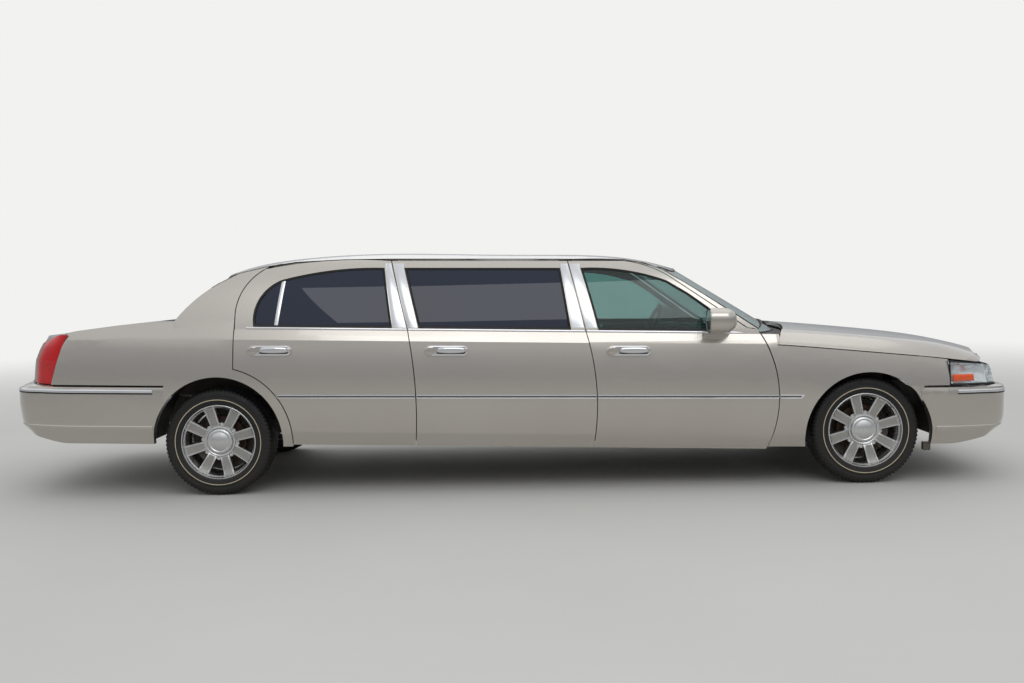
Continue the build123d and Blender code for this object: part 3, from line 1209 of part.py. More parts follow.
def cut_tunnel(shape):
    """Clear the floor tunnel from a piece that stands on the floor."""
    for x0, x1, half, height in TUNNEL:
        shape -= block(x0, x1, -half - 2.0, half + 2.0, FLOOR_Z - 10.0, FLOOR_Z + height + 1.0)
    return shape


def write_parts():
    """Build and write every node."""
    save("chassis_frame", chassis_frame())
    save("floor_pan", floor_pan())
    save("cabin_shell", cabin_shell())
    quarter = left_quarter()
    save("quarter_panels", quarter, flip(quarter))
    save("rear_shelf", rear_shelf())
    fender = left_fender()
    save("front_fenders", fender, flip(fender))
    liners = [left_front_liner(), left_rear_liner()]
    save("wheel_liners", *liners, *[flip(liner) for liner in liners])
    save("front_bumper", front_bumper())
    save("rear_bumper", rear_bumper())
    bonnet = hood()
    save("front_header", front_header(bonnet))
    save("grille", grille())
    save("headlamps", *headlamps())
    save("tail_lamps", *tail_lamps())
    save("windscreen", windscreen())
    save("rear_window", rear_window())
    save("hood", bonnet)
    save("trunk_lid", trunk_lid())
    for name, front, rear, handle_x in DOORS:
        door = left_door(name, front, rear, handle_x)
        if name == "front":
            door += left_mirror()
        glass = left_glass(name)
        save(f"door_{name}_left", door)
        save(f"door_{name}_right", flip(door))
        save(f"glass_{name}_left", glass)
        save(f"glass_{name}_right", flip(glass))
    save("dashboard", dashboard())
    save("steering_wheel", steering_wheel())
    save("front_seats", *[cut_tunnel(seat(*sizes)) for sizes in FRONT_SEATS])
    save("middle_seat", cut_tunnel(seat(*MIDDLE_SEAT)))
    save("rear_seat", cut_tunnel(seat(*REAR_SEAT)))
    save("engine_block", engine_block())
    save("exhaust", exhaust())
    save("driveshaft", driveshaft())
    save("fuel_tank", fuel_tank())
    save("rear_axle", rear_axle(), leaned=False)
    arms = left_suspension()
    save("front_suspension", arms, flip(arms))
    knuckle = left_knuckle()
    save("knuckle_left", knuckle, leaned=False)
    save("knuckle_right", flip(knuckle), leaned=False)
    rim = wheel_rim()
    rubber = tyre()
    for end, x, track in (("front", FRONT_AXLE_X, FRONT_TRACK), ("rear", REAR_AXLE_X, REAR_TRACK)):
        for side, y in (("left", track / 2), ("right", -track / 2)):
            save(f"rim_{end}_{side}", place_wheel(rim, x, y), leaned=False)
            save(f"tyre_{end}_{side}", place_wheel(rubber, x, y), leaned=False)


write_parts()
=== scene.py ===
"""Finishes, trims, wheels, seats and stage for a six-door stretched limousine.

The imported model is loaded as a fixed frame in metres: X to the front, Y to the left, Z up.
Body pieces are drawn in millimetres in a level frame and leaned to the car's stance.
"""

import json
import logging
from dataclasses import dataclass, field
from enum import Enum
from math import atan, atan2, cos, exp, hypot, pi, radians, sin, sqrt, tau
from typing import Callable, Iterable, Sequence

import bmesh
import bpy
from mathutils import Matrix, Vector
from mathutils.bvhtree import BVHTree


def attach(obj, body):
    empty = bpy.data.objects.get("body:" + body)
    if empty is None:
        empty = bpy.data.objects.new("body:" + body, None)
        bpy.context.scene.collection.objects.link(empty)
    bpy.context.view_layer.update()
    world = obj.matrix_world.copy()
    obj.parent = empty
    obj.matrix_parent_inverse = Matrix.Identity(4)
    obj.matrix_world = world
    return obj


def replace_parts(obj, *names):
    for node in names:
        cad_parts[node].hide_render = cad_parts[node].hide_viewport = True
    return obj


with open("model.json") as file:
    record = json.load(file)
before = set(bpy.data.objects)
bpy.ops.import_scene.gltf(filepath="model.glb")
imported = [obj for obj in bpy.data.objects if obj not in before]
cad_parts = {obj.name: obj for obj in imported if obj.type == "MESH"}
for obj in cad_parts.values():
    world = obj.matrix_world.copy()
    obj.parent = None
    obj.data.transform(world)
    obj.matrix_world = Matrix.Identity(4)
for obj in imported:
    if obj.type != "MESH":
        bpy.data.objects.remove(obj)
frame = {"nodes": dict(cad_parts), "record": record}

LOG = logging.getLogger("limousine")

# Lengths of the car in millimetres
WHEELBASE = 4184.0
FRONT_AXLE_X = 2289.0
REAR_AXLE_X = -1895.0
HUB_Z = 346.0
# How much lower the body stands at the front axle than at the rear one, and the lean that it gives
NOSE_DROP = 76.0
STANCE = atan(NOSE_DROP / WHEELBASE)
STANCE_PIVOT = 450.0
STANCE_LIFT = NOSE_DROP * FRONT_AXLE_X / WHEELBASE
BELT_Z = 985.0
SIDE_FALL = 0.009
SILL_RISE = 16.0
WINDOW_TOP_Z = 1396.0
# Seams between the doors, with x at the roof and x at the belt
SEAM_TOP_Z = 1480.0
SEAMS = {"rear": (-797, -665), "front": (357, 478)}
# Front end of the front door's window
SAIL_X = 1345.0
MOULDING_Z = 574.5
MOULDING_HEIGHT = 25.0
CABIN_FLOOR_Z = 396.0
# Inner and outer edge of the roof's side rails, in metres from the middle
RAIL_EDGES = (0.622, 0.710)
# Points on the centre line that the bumpers and the head lamps curve about
BUMPER_CENTRE_X = 2450.0
LAMP_CENTRE_X = 2500.0
# Mirror housing: middle of its widest section, half sizes, and x of its glass
MIRROR_CENTRE = (1322, 1072, 1062)
MIRROR_HALF = (86, 88, 80)
MIRROR_FACE_X = 1236.0
# Share of its half sizes that bounds the plain housing, that its core keeps, and that it is drawn in to
MIRROR_LIMIT = (1.06, 1.03, 1.03)
MIRROR_CORE = 0.9
MIRROR_DRAWN_IN = 0.95

Tree = bpy.types.NodeTree
Socket = bpy.types.NodeSocket
Point = tuple[float, float]
Place = tuple[float, float, float]
Hit = tuple[Vector, Vector]


class Side(Enum):
    """Sides of the car, as the sign of Y."""

    LEFT = 1
    RIGHT = -1

    @property
    def word(self) -> str:
        """Lower-case name used in node and body names."""
        return self.name.lower()


class Pattern(Enum):
    """Small-scale structure of a finish."""

    NOISE = "noise"
    CELLS = "cells"
    BRUSHED = "brushed"
    RIBS = "ribs"


@dataclass(frozen=True)
class Finish:
    """A real material and the numbers that draw it.

    Args:
        name: Material name.
        slot: The record's material slot that it stands for.
        colour: Main colour as sRGB hex.
        shade: Second colour that the main one varies towards.
        patch_mm: Size of the colour patches.
        metallic: 1 for bare metal.
        roughness: Least and greatest roughness, by patch.
        grain_mm: Size of the small structure that makes the bump.
        depth_mm: Height of that structure.
        pattern: Its kind.
        coat: Share of clear coat.
        transmission: Share of light let through.
        ior: Index of refraction.
        sheen: Share of soft glow at the edges of cloth or hide.
        dust: Share of road dust near the ground.
        wear: Share by which worn edges turn towards the shade.
        stretch: How the structure is stretched along X, Y and Z.
    """

    name: str
    slot: str
    colour: str
    shade: str
    patch_mm: float = 300.0
    metallic: float = 0.0
    roughness: Point = (0.4, 0.5)
    grain_mm: float = 1.0
    depth_mm: float = 0.05
    pattern: Pattern = Pattern.NOISE
    coat: float = 0.0
    transmission: float = 0.0
    ior: float = 1.45
    sheen: float = 0.0
    dust: float = 0.0
    wear: float = 0.0
    stretch: Place = (1, 1, 1)


# Acrylic lacquer with aluminium flakes under a clear coat: a warm sheen under sharp highlights.
# The flakes are drawn at 1.1 mm, coarser than real ones, so that they show.
PAINT = Finish("champagne_metallic_lacquer", "body_paint", "#C1BCB5", "#B7B1A9", 900, 0.90, (0.21, 0.26),
               1.1, 0.006, Pattern.CELLS, coat=1, dust=0.16)
# Chromium plated brass and plastic: a dark and bright mirror
CHROME = Finish("bright_chrome_plate", "chrome", "#E2E2E4", "#D2D3D6", 120, 1, (0.04, 0.09), 30, 0.02, wear=0.2)
# Stainless steel with upright brush marks, drawn coarse so that they show: a dull, streaked shine
BRUSHED = Finish("brushed_stainless_steel", "chrome", "#D6D8DA", "#C9CBCE", 240, 1, (0.20, 0.26),
                 1.6, 0.004, Pattern.BRUSHED, stretch=(1, 1, 0.02))
# Cast aluminium, machined and clear coated: a pale satin shine
ALLOY = Finish("machined_aluminium_alloy", "alloy", "#D2D2D2", "#C2C2C2", 90, 1, (0.24, 0.32), 2, 0.003, coat=0.5)
# Silver paint on the sunk flats of the wheel: greyer and softer
WHEEL_SILVER = Finish("silver_wheel_paint", "alloy", "#9E9C98", "#92908B", 60, 0.6, (0.36, 0.44),
                      0.8, 0.01, Pattern.CELLS, coat=0.6)
# Satin black paint on pressed steel: dull black, browned by dust
FRAME_BLACK = Finish("satin_black_chassis_paint", "frame_black", "#1A1A1B", "#38332E", 160, 0, (0.42, 0.7),
                     4, 0.15, dust=0.6, wear=0.5)
# Grained black polypropylene: soft black with a broken highlight
TRIM_BLACK = Finish("grained_black_plastic", "trim_black", "#121213", "#202022", 80, 0, (0.45, 0.6),
                    1.2, 0.08, Pattern.CELLS, dust=0.4)
# Moulded rubber seal: the deepest black, hardly any highlight
RUBBER = Finish("black_seal_rubber", "trim_black", "#0D0D0E", "#1B1B1C", 40, 0, (0.5, 0.65), 1.5, 0.05)
# Moulded tyre rubber: even matt black
TYRE = Finish("road_tyre_rubber", "tyre", "#0B0B0C", "#161616", 70, 0, (0.5, 0.7), 1.6, 0.12, dust=0.05)
# Ivory rubber line moulded into the sidewall: a thin matt ring
PINSTRIPE = Finish("ivory_sidewall_rubber", "tyre", "#C9BFA6", "#A89D84", 40, 0, (0.5, 0.6), 1.5, 0.05)
# Float glass tinted green: a clear view and a flawless reflection
CLEAR_GLASS = Finish("green_tinted_float_glass", "glass_clear", "#86B0AC", "#7DA6A2", 500, 0, (0, 0.015),
                     180, 0.01, transmission=1, ior=1.5)
# Privacy glass dyed nearly black: blue black, the cabin barely shows
DARK_GLASS = Finish("blue_black_privacy_glass", "glass_dark", "#0C1C38", "#08142A", 500, 0, (0, 0.02),
                    180, 0.02, transmission=0.16, ior=1.5)
# Clear moulded polycarbonate: a bright cover over the bowls
LENS = Finish("clear_lamp_polycarbonate", "lamp_clear", "#E4E9EA", "#D5DBDD", 90, 0, (0.02, 0.06),
              14, 0.10, Pattern.RIBS, transmission=0.94, ior=1.2)
# Red moulded acrylic: deep colour with faint ribs
RED_LENS = Finish("deep_red_lamp_acrylic", "lamp_red", "#D2030B", "#A80208", 70, 0, (0.16, 0.24),
                  9, 0.20, Pattern.RIBS, coat=0.25)
# Moulded amber acrylic: orange with a prism glitter
AMBER = Finish("amber_reflector_acrylic", "lamp_clear", "#E8590C", "#D04704", 30, 0, (0.12, 0.22),
               5, 0.30, Pattern.CELLS, coat=0.6)
# Aluminised plastic bowl: a bright, slightly broken mirror
MIRROR_COAT = Finish("aluminised_reflector", "chrome", "#F0F2F4", "#E2E5E8", 60, 0.75, (0.16, 0.26),
                     12, 0.3, Pattern.RIBS)
# Grained hide, its cells drawn coarse so that they show: soft and warm
LEATHER = Finish("grey_beige_hide", "leather", "#8B8274", "#756C5F", 120, 0, (0.42, 0.6),
                 2.4, 0.25, Pattern.CELLS, sheen=0.15, wear=0.2)
# Nylon cut pile, drawn coarse so that it shows: dark and lightless
CARPET = Finish("cut_pile_carpet", "leather", "#4B463F", "#37332E", 50, 0, (0.85, 0.95), 2.2, 1.2, sheen=0.35)
# Knitted roof lining, its loops drawn coarse so that they show: pale and matt
HEADLINER = Finish("knitted_headliner", "leather", "#B9B2A6", "#A9A297", 60, 0, (0.8, 0.92),
                   1.8, 0.35, Pattern.CELLS, sheen=0.3)
# Moulded soft skin: dark brown grey, no shine
DASH = Finish("soft_touch_dash_skin", "dash_plastic", "#3B3732", "#2E2B27", 90, 0, (0.5, 0.66),
              1.6, 0.15, Pattern.CELLS)
# Sand cast iron: rough grey with rusty edges
CAST = Finish("sand_cast_iron", "cast_metal", "#4A4744", "#55504A", 60, 0.7, (0.55, 0.8), 3, 0.4, dust=0.4, wear=0.3)
# Turned brake iron with surface rust: dull brown
RUST = Finish("rusted_brake_iron", "cast_metal", "#5B4334", "#3B2C24", 25, 0.4, (0.6, 0.85), 2, 0.25)
# Aluminised steel pipe: grey shine with heat stains
STEEL = Finish("aluminised_steel_pipe", "steel", "#77736D", "#8A6B50", 90, 0.85, (0.35, 0.6), 8, 0.1, dust=0.4)
# Blank white reflective sheet: flat white
PLATE = Finish("blank_reflective_plate", "body_paint", "#D9D9D4", "#C9C9C3", 50, 0, (0.35, 0.45),
               1.5, 0.04, Pattern.CELLS)

# Finish of the CAD nodes of each slot
SLOT_FINISH = {f.slot: f for f in (PAINT, FRAME_BLACK, TRIM_BLACK, CHROME, CLEAR_GLASS, DARK_GLASS, LENS, RED_LENS,
                                   LEATHER, DASH, CAST, STEEL, ALLOY, TYRE)}


def linear(hex_colour: str) -> tuple[float, float, float, float]:
    """Turn an sRGB hex colour into linear RGBA.

    Args:
        hex_colour: Colour such as "#C0C0C0".

    Returns:
        Linear red, green, blue and an alpha of 1.
    """
    parts = [int(hex_colour[i:i + 2], 16) / 255 for i in (1, 3, 5)]
    red, green, blue = [p / 12.92 if p <= 0.04045 else ((p + 0.055) / 1.055) ** 2.4 for p in parts]
    return (red, green, blue, 1)


def add_node(tree: Tree, kind: str, inputs: dict | None = None, **settings: object) -> bpy.types.Node:
    """Add a shader node and fill or link its inputs.

    Args:
        tree: Node tree that gets the node.
        kind: Node type without its "ShaderNode" start.
        inputs: Values or output sockets by input name or number.
        settings: Attributes of the node.

    Returns:
        The new node.
    """
    node = tree.nodes.new("ShaderNode" + kind)
    for key, value in settings.items():
        setattr(node, key, value)
    for key, value in (inputs or {}).items():
        if isinstance(value, Socket):
            tree.links.new(value, node.inputs[key])
        else:
            node.inputs[key].default_value = value
    return node


def mix_colours(tree: Tree, factor: Socket, first: object, second: object) -> Socket:
    """Blend two colours or colour sockets; the factor is the share of the second."""
    return add_node(tree, "Mix", {0: factor, 6: first, 7: second}, data_type="RGBA").outputs[2]


def clear_tree(owner: bpy.types.Material | bpy.types.World) -> Tree:
    """Switch on the nodes of a material or world and clear them.

    Args:
        owner: The material or world.

    Returns:
        Its empty node tree.
    """
    owner.use_nodes = True
    owner.node_tree.nodes.clear()
    return owner.node_tree


class Materials:
    """Makes each finish once."""

    def __init__(self) -> None:
        """Start with no materials."""
        self.made: dict[str, bpy.types.Material] = {}

    def get(self, finish: Finish) -> bpy.types.Material:
        """Give the material of a finish.

        Args:
            finish: The finish.

        Returns:
            Its Blender material.
        """
        if finish.name not in self.made:
            self.made[finish.name] = self._make(finish)
        return self.made[finish.name]

    def _make(self, finish: Finish) -> bpy.types.Material:
        """Build the nodes of a finish.

        Args:
            finish: The finish.

        Returns:
            Its Blender material.
        """
        material = bpy.data.materials.new(finish.name)
        tree = clear_tree(material)
        place = add_node(tree, "TexCoord").outputs["Object"]
        patches = add_node(tree, "TexNoise", {"Vector": place, "Scale": 1000 / finish.patch_mm, "Detail": 4})
        colour = mix_colours(tree, patches.outputs["Fac"], linear(finish.colour), linear(finish.shade))
        grain = self._grain(tree, place, finish)
        if finish.wear:
            edge = add_node(tree, "MapRange", {"Value": add_node(tree, "NewGeometry").outputs["Pointiness"],
                                               "From Min": 0.5, "From Max": 0.58, "To Max": finish.wear})
            colour = mix_colours(tree, edge.outputs[0], colour, linear(finish.shade))
        if finish.dust:
            colour = self._dusted(tree, place, patches.outputs["Fac"], colour, finish.dust)
        low, high = finish.roughness
        rough = add_node(tree, "MapRange", {"Value": patches.outputs["Fac"], "From Min": 0.3, "From Max": 0.7,
                                            "To Min": low, "To Max": high})
        bump = add_node(tree, "Bump", {"Strength": 0.6, "Distance": finish.depth_mm / 1000, "Height": grain})
        shader = add_node(tree, "BsdfPrincipled", {
            "Base Color": colour, "Roughness": rough.outputs[0], "Metallic": finish.metallic,
            "Normal": bump.outputs[0], "Coat Weight": finish.coat, "Coat Roughness": 0.04,
            "Transmission Weight": finish.transmission, "IOR": finish.ior, "Sheen Weight": finish.sheen})
        add_node(tree, "OutputMaterial", {"Surface": shader.outputs[0]})
        LOG.info("material %s", finish.name)
        return material

    @staticmethod
    def _grain(tree: Tree, place: Socket, finish: Finish) -> Socket:
        """Draw the small structure of a finish.

        Args:
            tree: Node tree.
            place: Socket with the place in metres.
            finish: The finish.

        Returns:
            Socket with the height of the structure.
        """
        scale = 1000 / finish.grain_mm
        if finish.pattern is Pattern.CELLS:
            return add_node(tree, "TexVoronoi", {"Vector": place, "Scale": scale}).outputs["Distance"]
        if finish.pattern is Pattern.RIBS:
            return add_node(tree, "TexWave", {"Vector": place, "Scale": scale / 20, "Distortion": 0.3},
                            bands_direction="Z").outputs["Fac"]
        if finish.pattern is Pattern.BRUSHED:
            place = add_node(tree, "Mapping", {"Vector": place, "Scale": finish.stretch}).outputs[0]
        return add_node(tree, "TexNoise", {"Vector": place, "Scale": scale, "Detail": 5}).outputs["Fac"]

    @staticmethod
    def _dusted(tree: Tree, place: Socket, patches: Socket, colour: Socket, share: float) -> Socket:
        """Cover a colour with road dust near the ground.

        Args:
            tree: Node tree.
            place: Socket with the place in metres.
            patches: Socket that breaks the dust up.
            colour: The clean colour.
            share: Share of dust at the bottom.

        Returns:
            The dusted colour.
        """
        height = add_node(tree, "SeparateXYZ", {0: place}).outputs["Z"]
        low = add_node(tree, "MapRange", {"Value": height, "From Min": 0.22, "From Max": 0.60,
                                          "To Min": share, "To Max": 0})
        cover = add_node(tree, "Math", {0: low.outputs[0], 1: patches}, operation="MULTIPLY")
        return mix_colours(tree, cover.outputs[0], colour, linear("#8A7D6A"))


MATERIALS = Materials()


def new_object(name: str, data: bpy.types.ID) -> bpy.types.Object:
    """Make an object and link it to the scene.

    Args:
        name: Its name.
        data: Its mesh, camera or light.

    Returns:
        The object.
    """
    thing = bpy.data.objects.new(name, data)
    bpy.context.scene.collection.objects.link(thing)
    return thing


def turns(count: int) -> list[float]:
    """Even angles once round a circle."""
    return [tau * i / count for i in range(count)]


def shares(count: int) -> list[float]:
    """Even steps from 0 to 1."""
    return [i / count for i in range(count + 1)]


def lean(x: float, y: float, z: float) -> Vector:
    """Place a point of the level body frame.

    Args:
        x: Millimetres to the front.
        y: Millimetres to the left.
        z: Millimetres up.

    Returns:
        The point in metres in the shared frame.
    """
    height = z - STANCE_PIVOT
    return Vector((x * cos(STANCE) + height * sin(STANCE), y,
                   STANCE_PIVOT + STANCE_LIFT - x * sin(STANCE) + height * cos(STANCE))) / 1000


def ground(x: float, y: float, z: float) -> Vector:
    """Place a point of the ground frame, in millimetres, and give it in metres."""
    return Vector((x, y, z)) / 1000


def belt_z(x: float) -> float:
    """Height of the window line at x."""
    return BELT_Z - SIDE_FALL * x


def glass_y(z: float) -> float:
    """Outer line of the side windows at a height, half of the car's width there."""
    share = (z - 965) / 487
    return 942 - 190 * share + 28 * 4 * share * (1 - share)


def arc_through(first: Point, middle: Point, last: Point, count: int = 12) -> list[Point]:
    """Points of the arc through three points.

    Args:
        first: Start.
        middle: A point on the arc.
        last: End.
        count: Number of steps.

    Returns:
        Points from first to last.
    """
    (ax, az), (bx, bz), (cx, cz) = first, middle, last
    d = 2 * (ax * (bz - cz) + bx * (cz - az) + cx * (az - bz))
    ux = ((ax ** 2 + az ** 2) * (bz - cz) + (bx ** 2 + bz ** 2) * (cz - az) + (cx ** 2 + cz ** 2) * (az - bz)) / d
    uz = ((ax ** 2 + az ** 2) * (cx - bx) + (bx ** 2 + bz ** 2) * (ax - cx) + (cx ** 2 + cz ** 2) * (bx - ax)) / d
    start = atan2(az - uz, ax - ux)
    via = (atan2(bz - uz, bx - ux) - start + pi) % tau - pi
    rest = (atan2(cz - uz, cx - ux) - start - via + pi) % tau - pi
    radius = hypot(ax - ux, az - uz)
    turn = via + rest
    return [(ux + radius * cos(start + turn * i / count), uz + radius * sin(start + turn * i / count))
            for i in range(count + 1)]


def inset(outline: Sequence[Point], distance: float) -> list[Point]:
    """Move a closed outline inwards.

    Args:
        outline: Corners in order round the outline.
        distance: How far each edge moves in.

    Returns:
        One moved corner for each corner.
    """
    area = sum(a[0] * b[1] - b[0] * a[1] for a, b in zip(outline, [*outline[1:], outline[0]]))
    turn = 1 if area > 0 else -1
    moved = []
    for i, (x, z) in enumerate(outline):
        before, after = outline[i - 1], outline[(i + 1) % len(outline)]
        a = Vector((x - before[0], z - before[1])).normalized()
        b = Vector((after[0] - x, after[1] - z)).normalized()
        na, nb = Vector((-a.y, a.x)) * turn, Vector((-b.y, b.x)) * turn
        middle = (na + nb).normalized()
        reach = distance / max(0.35, middle.dot(na))
        moved.append((x + middle.x * reach, z + middle.y * reach))
    return moved


def level(point: Vector) -> Place:
    """Undo lean.

    Args:
        point: Point of the shared frame in metres.

    Returns:
        Millimetres to the front, to the left and up in the level body frame.
    """
    x, y, z = (c * 1000 for c in point)
    height = z - STANCE_PIVOT - STANCE_LIFT
    return (x * cos(STANCE) - height * sin(STANCE), y, STANCE_PIVOT + x * sin(STANCE) + height * cos(STANCE))


def between(value: float, rows: Sequence[Point]) -> float:
    """Read a table of two columns, with straight lines between its rows.

    Args:
        value: A number of the first column.
        rows: The table, in rising order.

    Returns:
        The number of the second column.
    """
    if value <= rows[0][0]:
        return rows[0][1]
    for (a, first), (b, second) in zip(rows, rows[1:]):
        if value <= b:
            return first + (second - first) * (value - a) / (b - a)
    return rows[-1][1]


def ease(value: float) -> float:
    """Smooth step from 0 to 1."""
    value = max(0, min(1, value))
    return value * value * (3 - 2 * value)


@dataclass(frozen=True)
class EndForm:
    """How one end of the body is swept in at its corners and rises under its bumper.

    Args:
        sign: 1 for the nose and -1 for the tail.
        start: Distance from the car's middle where the sweep starts.
        length: Length over which it grows.
        limit: Largest growth past that length.
        middle: Share of the sweep on the centre line.
        plain: Half width that keeps that share.
        width: Further half width over which the share grows to 1.
        under: Distance from the car's middle where the underside starts to rise.
        run: Length over which it rises.
        lift: Rise of the lowest edge.
        sweep: Height, and how far the corner lies in there from the plain end.
    """

    sign: float
    start: float
    length: float
    limit: float
    middle: float
    plain: float
    width: float
    under: float
    run: float
    lift: float
    sweep: tuple[Point, ...]


TAIL = EndForm(-1, 2780, 450, 1.3, 0.10, 250, 630, 2880, 400, 58,
               ((262, 84), (372, 44), (500, 24), (606, 24), (642, 80), (787, 94),
                (895, 146), (958, 255), (1060, 285)))
NOSE = EndForm(1, 2700, 420, 1.45, 0.30, 330, 540, 2850, 420, 52,
               ((262, 60), (372, 20), (420, 9), (640, 9), (679, 14), (749, 30),
                (800, 66), (850, 135), (900, 185), (1000, 200)))
# Height below which the bumpers' undersides rise, and the depth over which they reach their full lift
UNDERSIDE_Z = 372.0
UNDERSIDE_DEPTH = 110.0


def true_form(point: Vector) -> Vector:
    """Round the tail, the nose, the bumper undersides and the mirror housings.

    Args:
        point: Point of the shared frame in metres, on the plain solids.

    Returns:
        The point on the finished form.
    """
    x, y, z = level(point)
    side, low = abs(y), max(0, UNDERSIDE_Z - z) / UNDERSIDE_DEPTH
    for end in (TAIL, NOSE):
        ahead = end.sign * x
        if ahead > end.start:
            reach = min(end.limit, (ahead - end.start) / end.length) ** 1.5
            share = end.middle + (1 - end.middle) * ease((side - end.plain) / end.width)
            rise = min(1.1, max(0, (ahead - end.under) / end.run)) ** 1.3
            return lean(x - end.sign * between(z, end.sweep) * share * reach, y, z + end.lift * low * rise)
    if side > 984 and 1225 < x < 1415 and 975 < z < 1150:
        return _mirror_form(x, y, z)
    return point


def _mirror_form(x: float, y: float, z: float) -> Vector:
    """Round the box of a mirror housing to an egg.

    Args:
        x: Millimetres to the front.
        y: Millimetres to the left.
        z: Millimetres up.

    Returns:
        Where it goes, in metres.
    """
    sign = 1 if y > 0 else -1
    place = (x, abs(y), z)
    ahead, out, up = ((v - middle) / half for v, middle, half in zip(place, MIRROR_CENTRE, MIRROR_HALF))
    if any(abs(v) > limit for v, limit in zip((ahead, out, up), MIRROR_LIMIT)):
        return lean(x, y, z)
    section = abs(out) ** 2.3 + abs(up) ** 2.3
    shrink = 1
    if ahead > 0:
        whole = (ahead ** 2.1 + section) ** (1 / 2.2)
        if whole < MIRROR_CORE:
            return lean(x, y, z)
        shrink = max(MIRROR_DRAWN_IN, whole)
        ahead *= MIRROR_DRAWN_IN / shrink
    elif section > 1:
        shrink = section ** (1 / 2.3)
    moved = [middle + v * half for v, middle, half in
             zip((ahead, out * MIRROR_DRAWN_IN / shrink, up * MIRROR_DRAWN_IN / shrink), MIRROR_CENTRE, MIRROR_HALF)]
    return lean(moved[0], sign * moved[1], moved[2])


def in_formed_zone(point: Vector) -> bool:
    """Whether a point lies where true_form moves points."""
    x, y, z = level(point)
    return x < -2700 or x > 2620 or (abs(y) > 975 and 1200 < x < 1440 and z > 960)


def rail_zone(point: Vector) -> bool:
    """Whether a point lies near the ends of the roof's side rails."""
    x, y, z = level(point)
    return 610 < abs(y) < 720 and z > 1340 and (x < -1100 or x > 560)


def rails_under_roof() -> Callable[[Vector], Vector]:
    """Make the form that sinks the ends of the side rails flush with the roof panel.

    Returns:
        The form.
    """
    skin = Skin("cabin_shell")

    def form(point: Vector) -> Vector:
        """Lower a point of a rail's end to the roof beside it.

        Args:
            point: Point in metres.

        Returns:
            Where it goes.
        """
        if not rail_zone(point):
            return point
        side = 1 if point.y > 0 else -1
        hits = [skin.cast(Vector((point.x, side * y, 1.9)), Vector((0, 0, -1))) for y in RAIL_EDGES]
        if hits[0] is None or hits[1] is None:
            return point
        share = max(0, min(1, (abs(point.y) - RAIL_EDGES[0]) / (RAIL_EDGES[1] - RAIL_EDGES[0])))
        roof = hits[0][0].z + (hits[1][0].z - hits[0][0].z) * share
        return Vector((point.x, point.y, min(point.z, roof)))

    return form


def reform(node_name: str, body: str, finish: "Finish", step_mm: float = 42,
           form: Callable[[Vector], Vector] = true_form,
           zone: Callable[[Vector], bool] = in_formed_zone) -> bpy.types.Object:
    """Stand in for a CAD node with the same surface in its finished form.

    Args:
        node_name: CAD node.
        body: Body that it rides on.
        finish: Finish of the new piece.
        step_mm: Longest edge where the form changes.
        form: Where each point goes.
        zone: Where the form changes.

    Returns:
        The new object.
    """
    mesh = frame["nodes"][node_name].data.copy()
    work = bmesh.new()
    work.from_mesh(mesh)
    bmesh.ops.remove_doubles(work, verts=work.verts, dist=2e-5)
    for edge in work.edges:
        edge.smooth = len(edge.link_faces) == 2 and edge.calc_face_angle(0) < radians(28)
    for _ in range(6):
        long_edges = [e for e in work.edges if e.calc_length() > step_mm / 1000 and
                      (zone(e.verts[0].co) or zone(e.verts[1].co))]
        if not long_edges:
            break
        bmesh.ops.subdivide_edges(work, edges=long_edges, cuts=1)
        bmesh.ops.triangulate(work, faces=[f for f in work.faces if len(f.verts) > 4])
    for vertex in work.verts:
        vertex.co = form(vertex.co)
    for face in work.faces:
        face.smooth = True
    fresh = bpy.data.meshes.new(f"{node_name}_form")
    work.to_mesh(fresh)
    work.free()
    bpy.data.meshes.remove(mesh)
    fresh.materials.clear()
    fresh.materials.append(MATERIALS.get(finish))
    thing = new_object(f"{node_name}_form", fresh)
    even = thing.modifiers.new("even_shading", "WEIGHTED_NORMAL")
    even.keep_sharp = True
    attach(thing, body)
    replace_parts(thing, node_name)
    LOG.info("form %s: %d faces", node_name, len(fresh.polygons))
    return thing


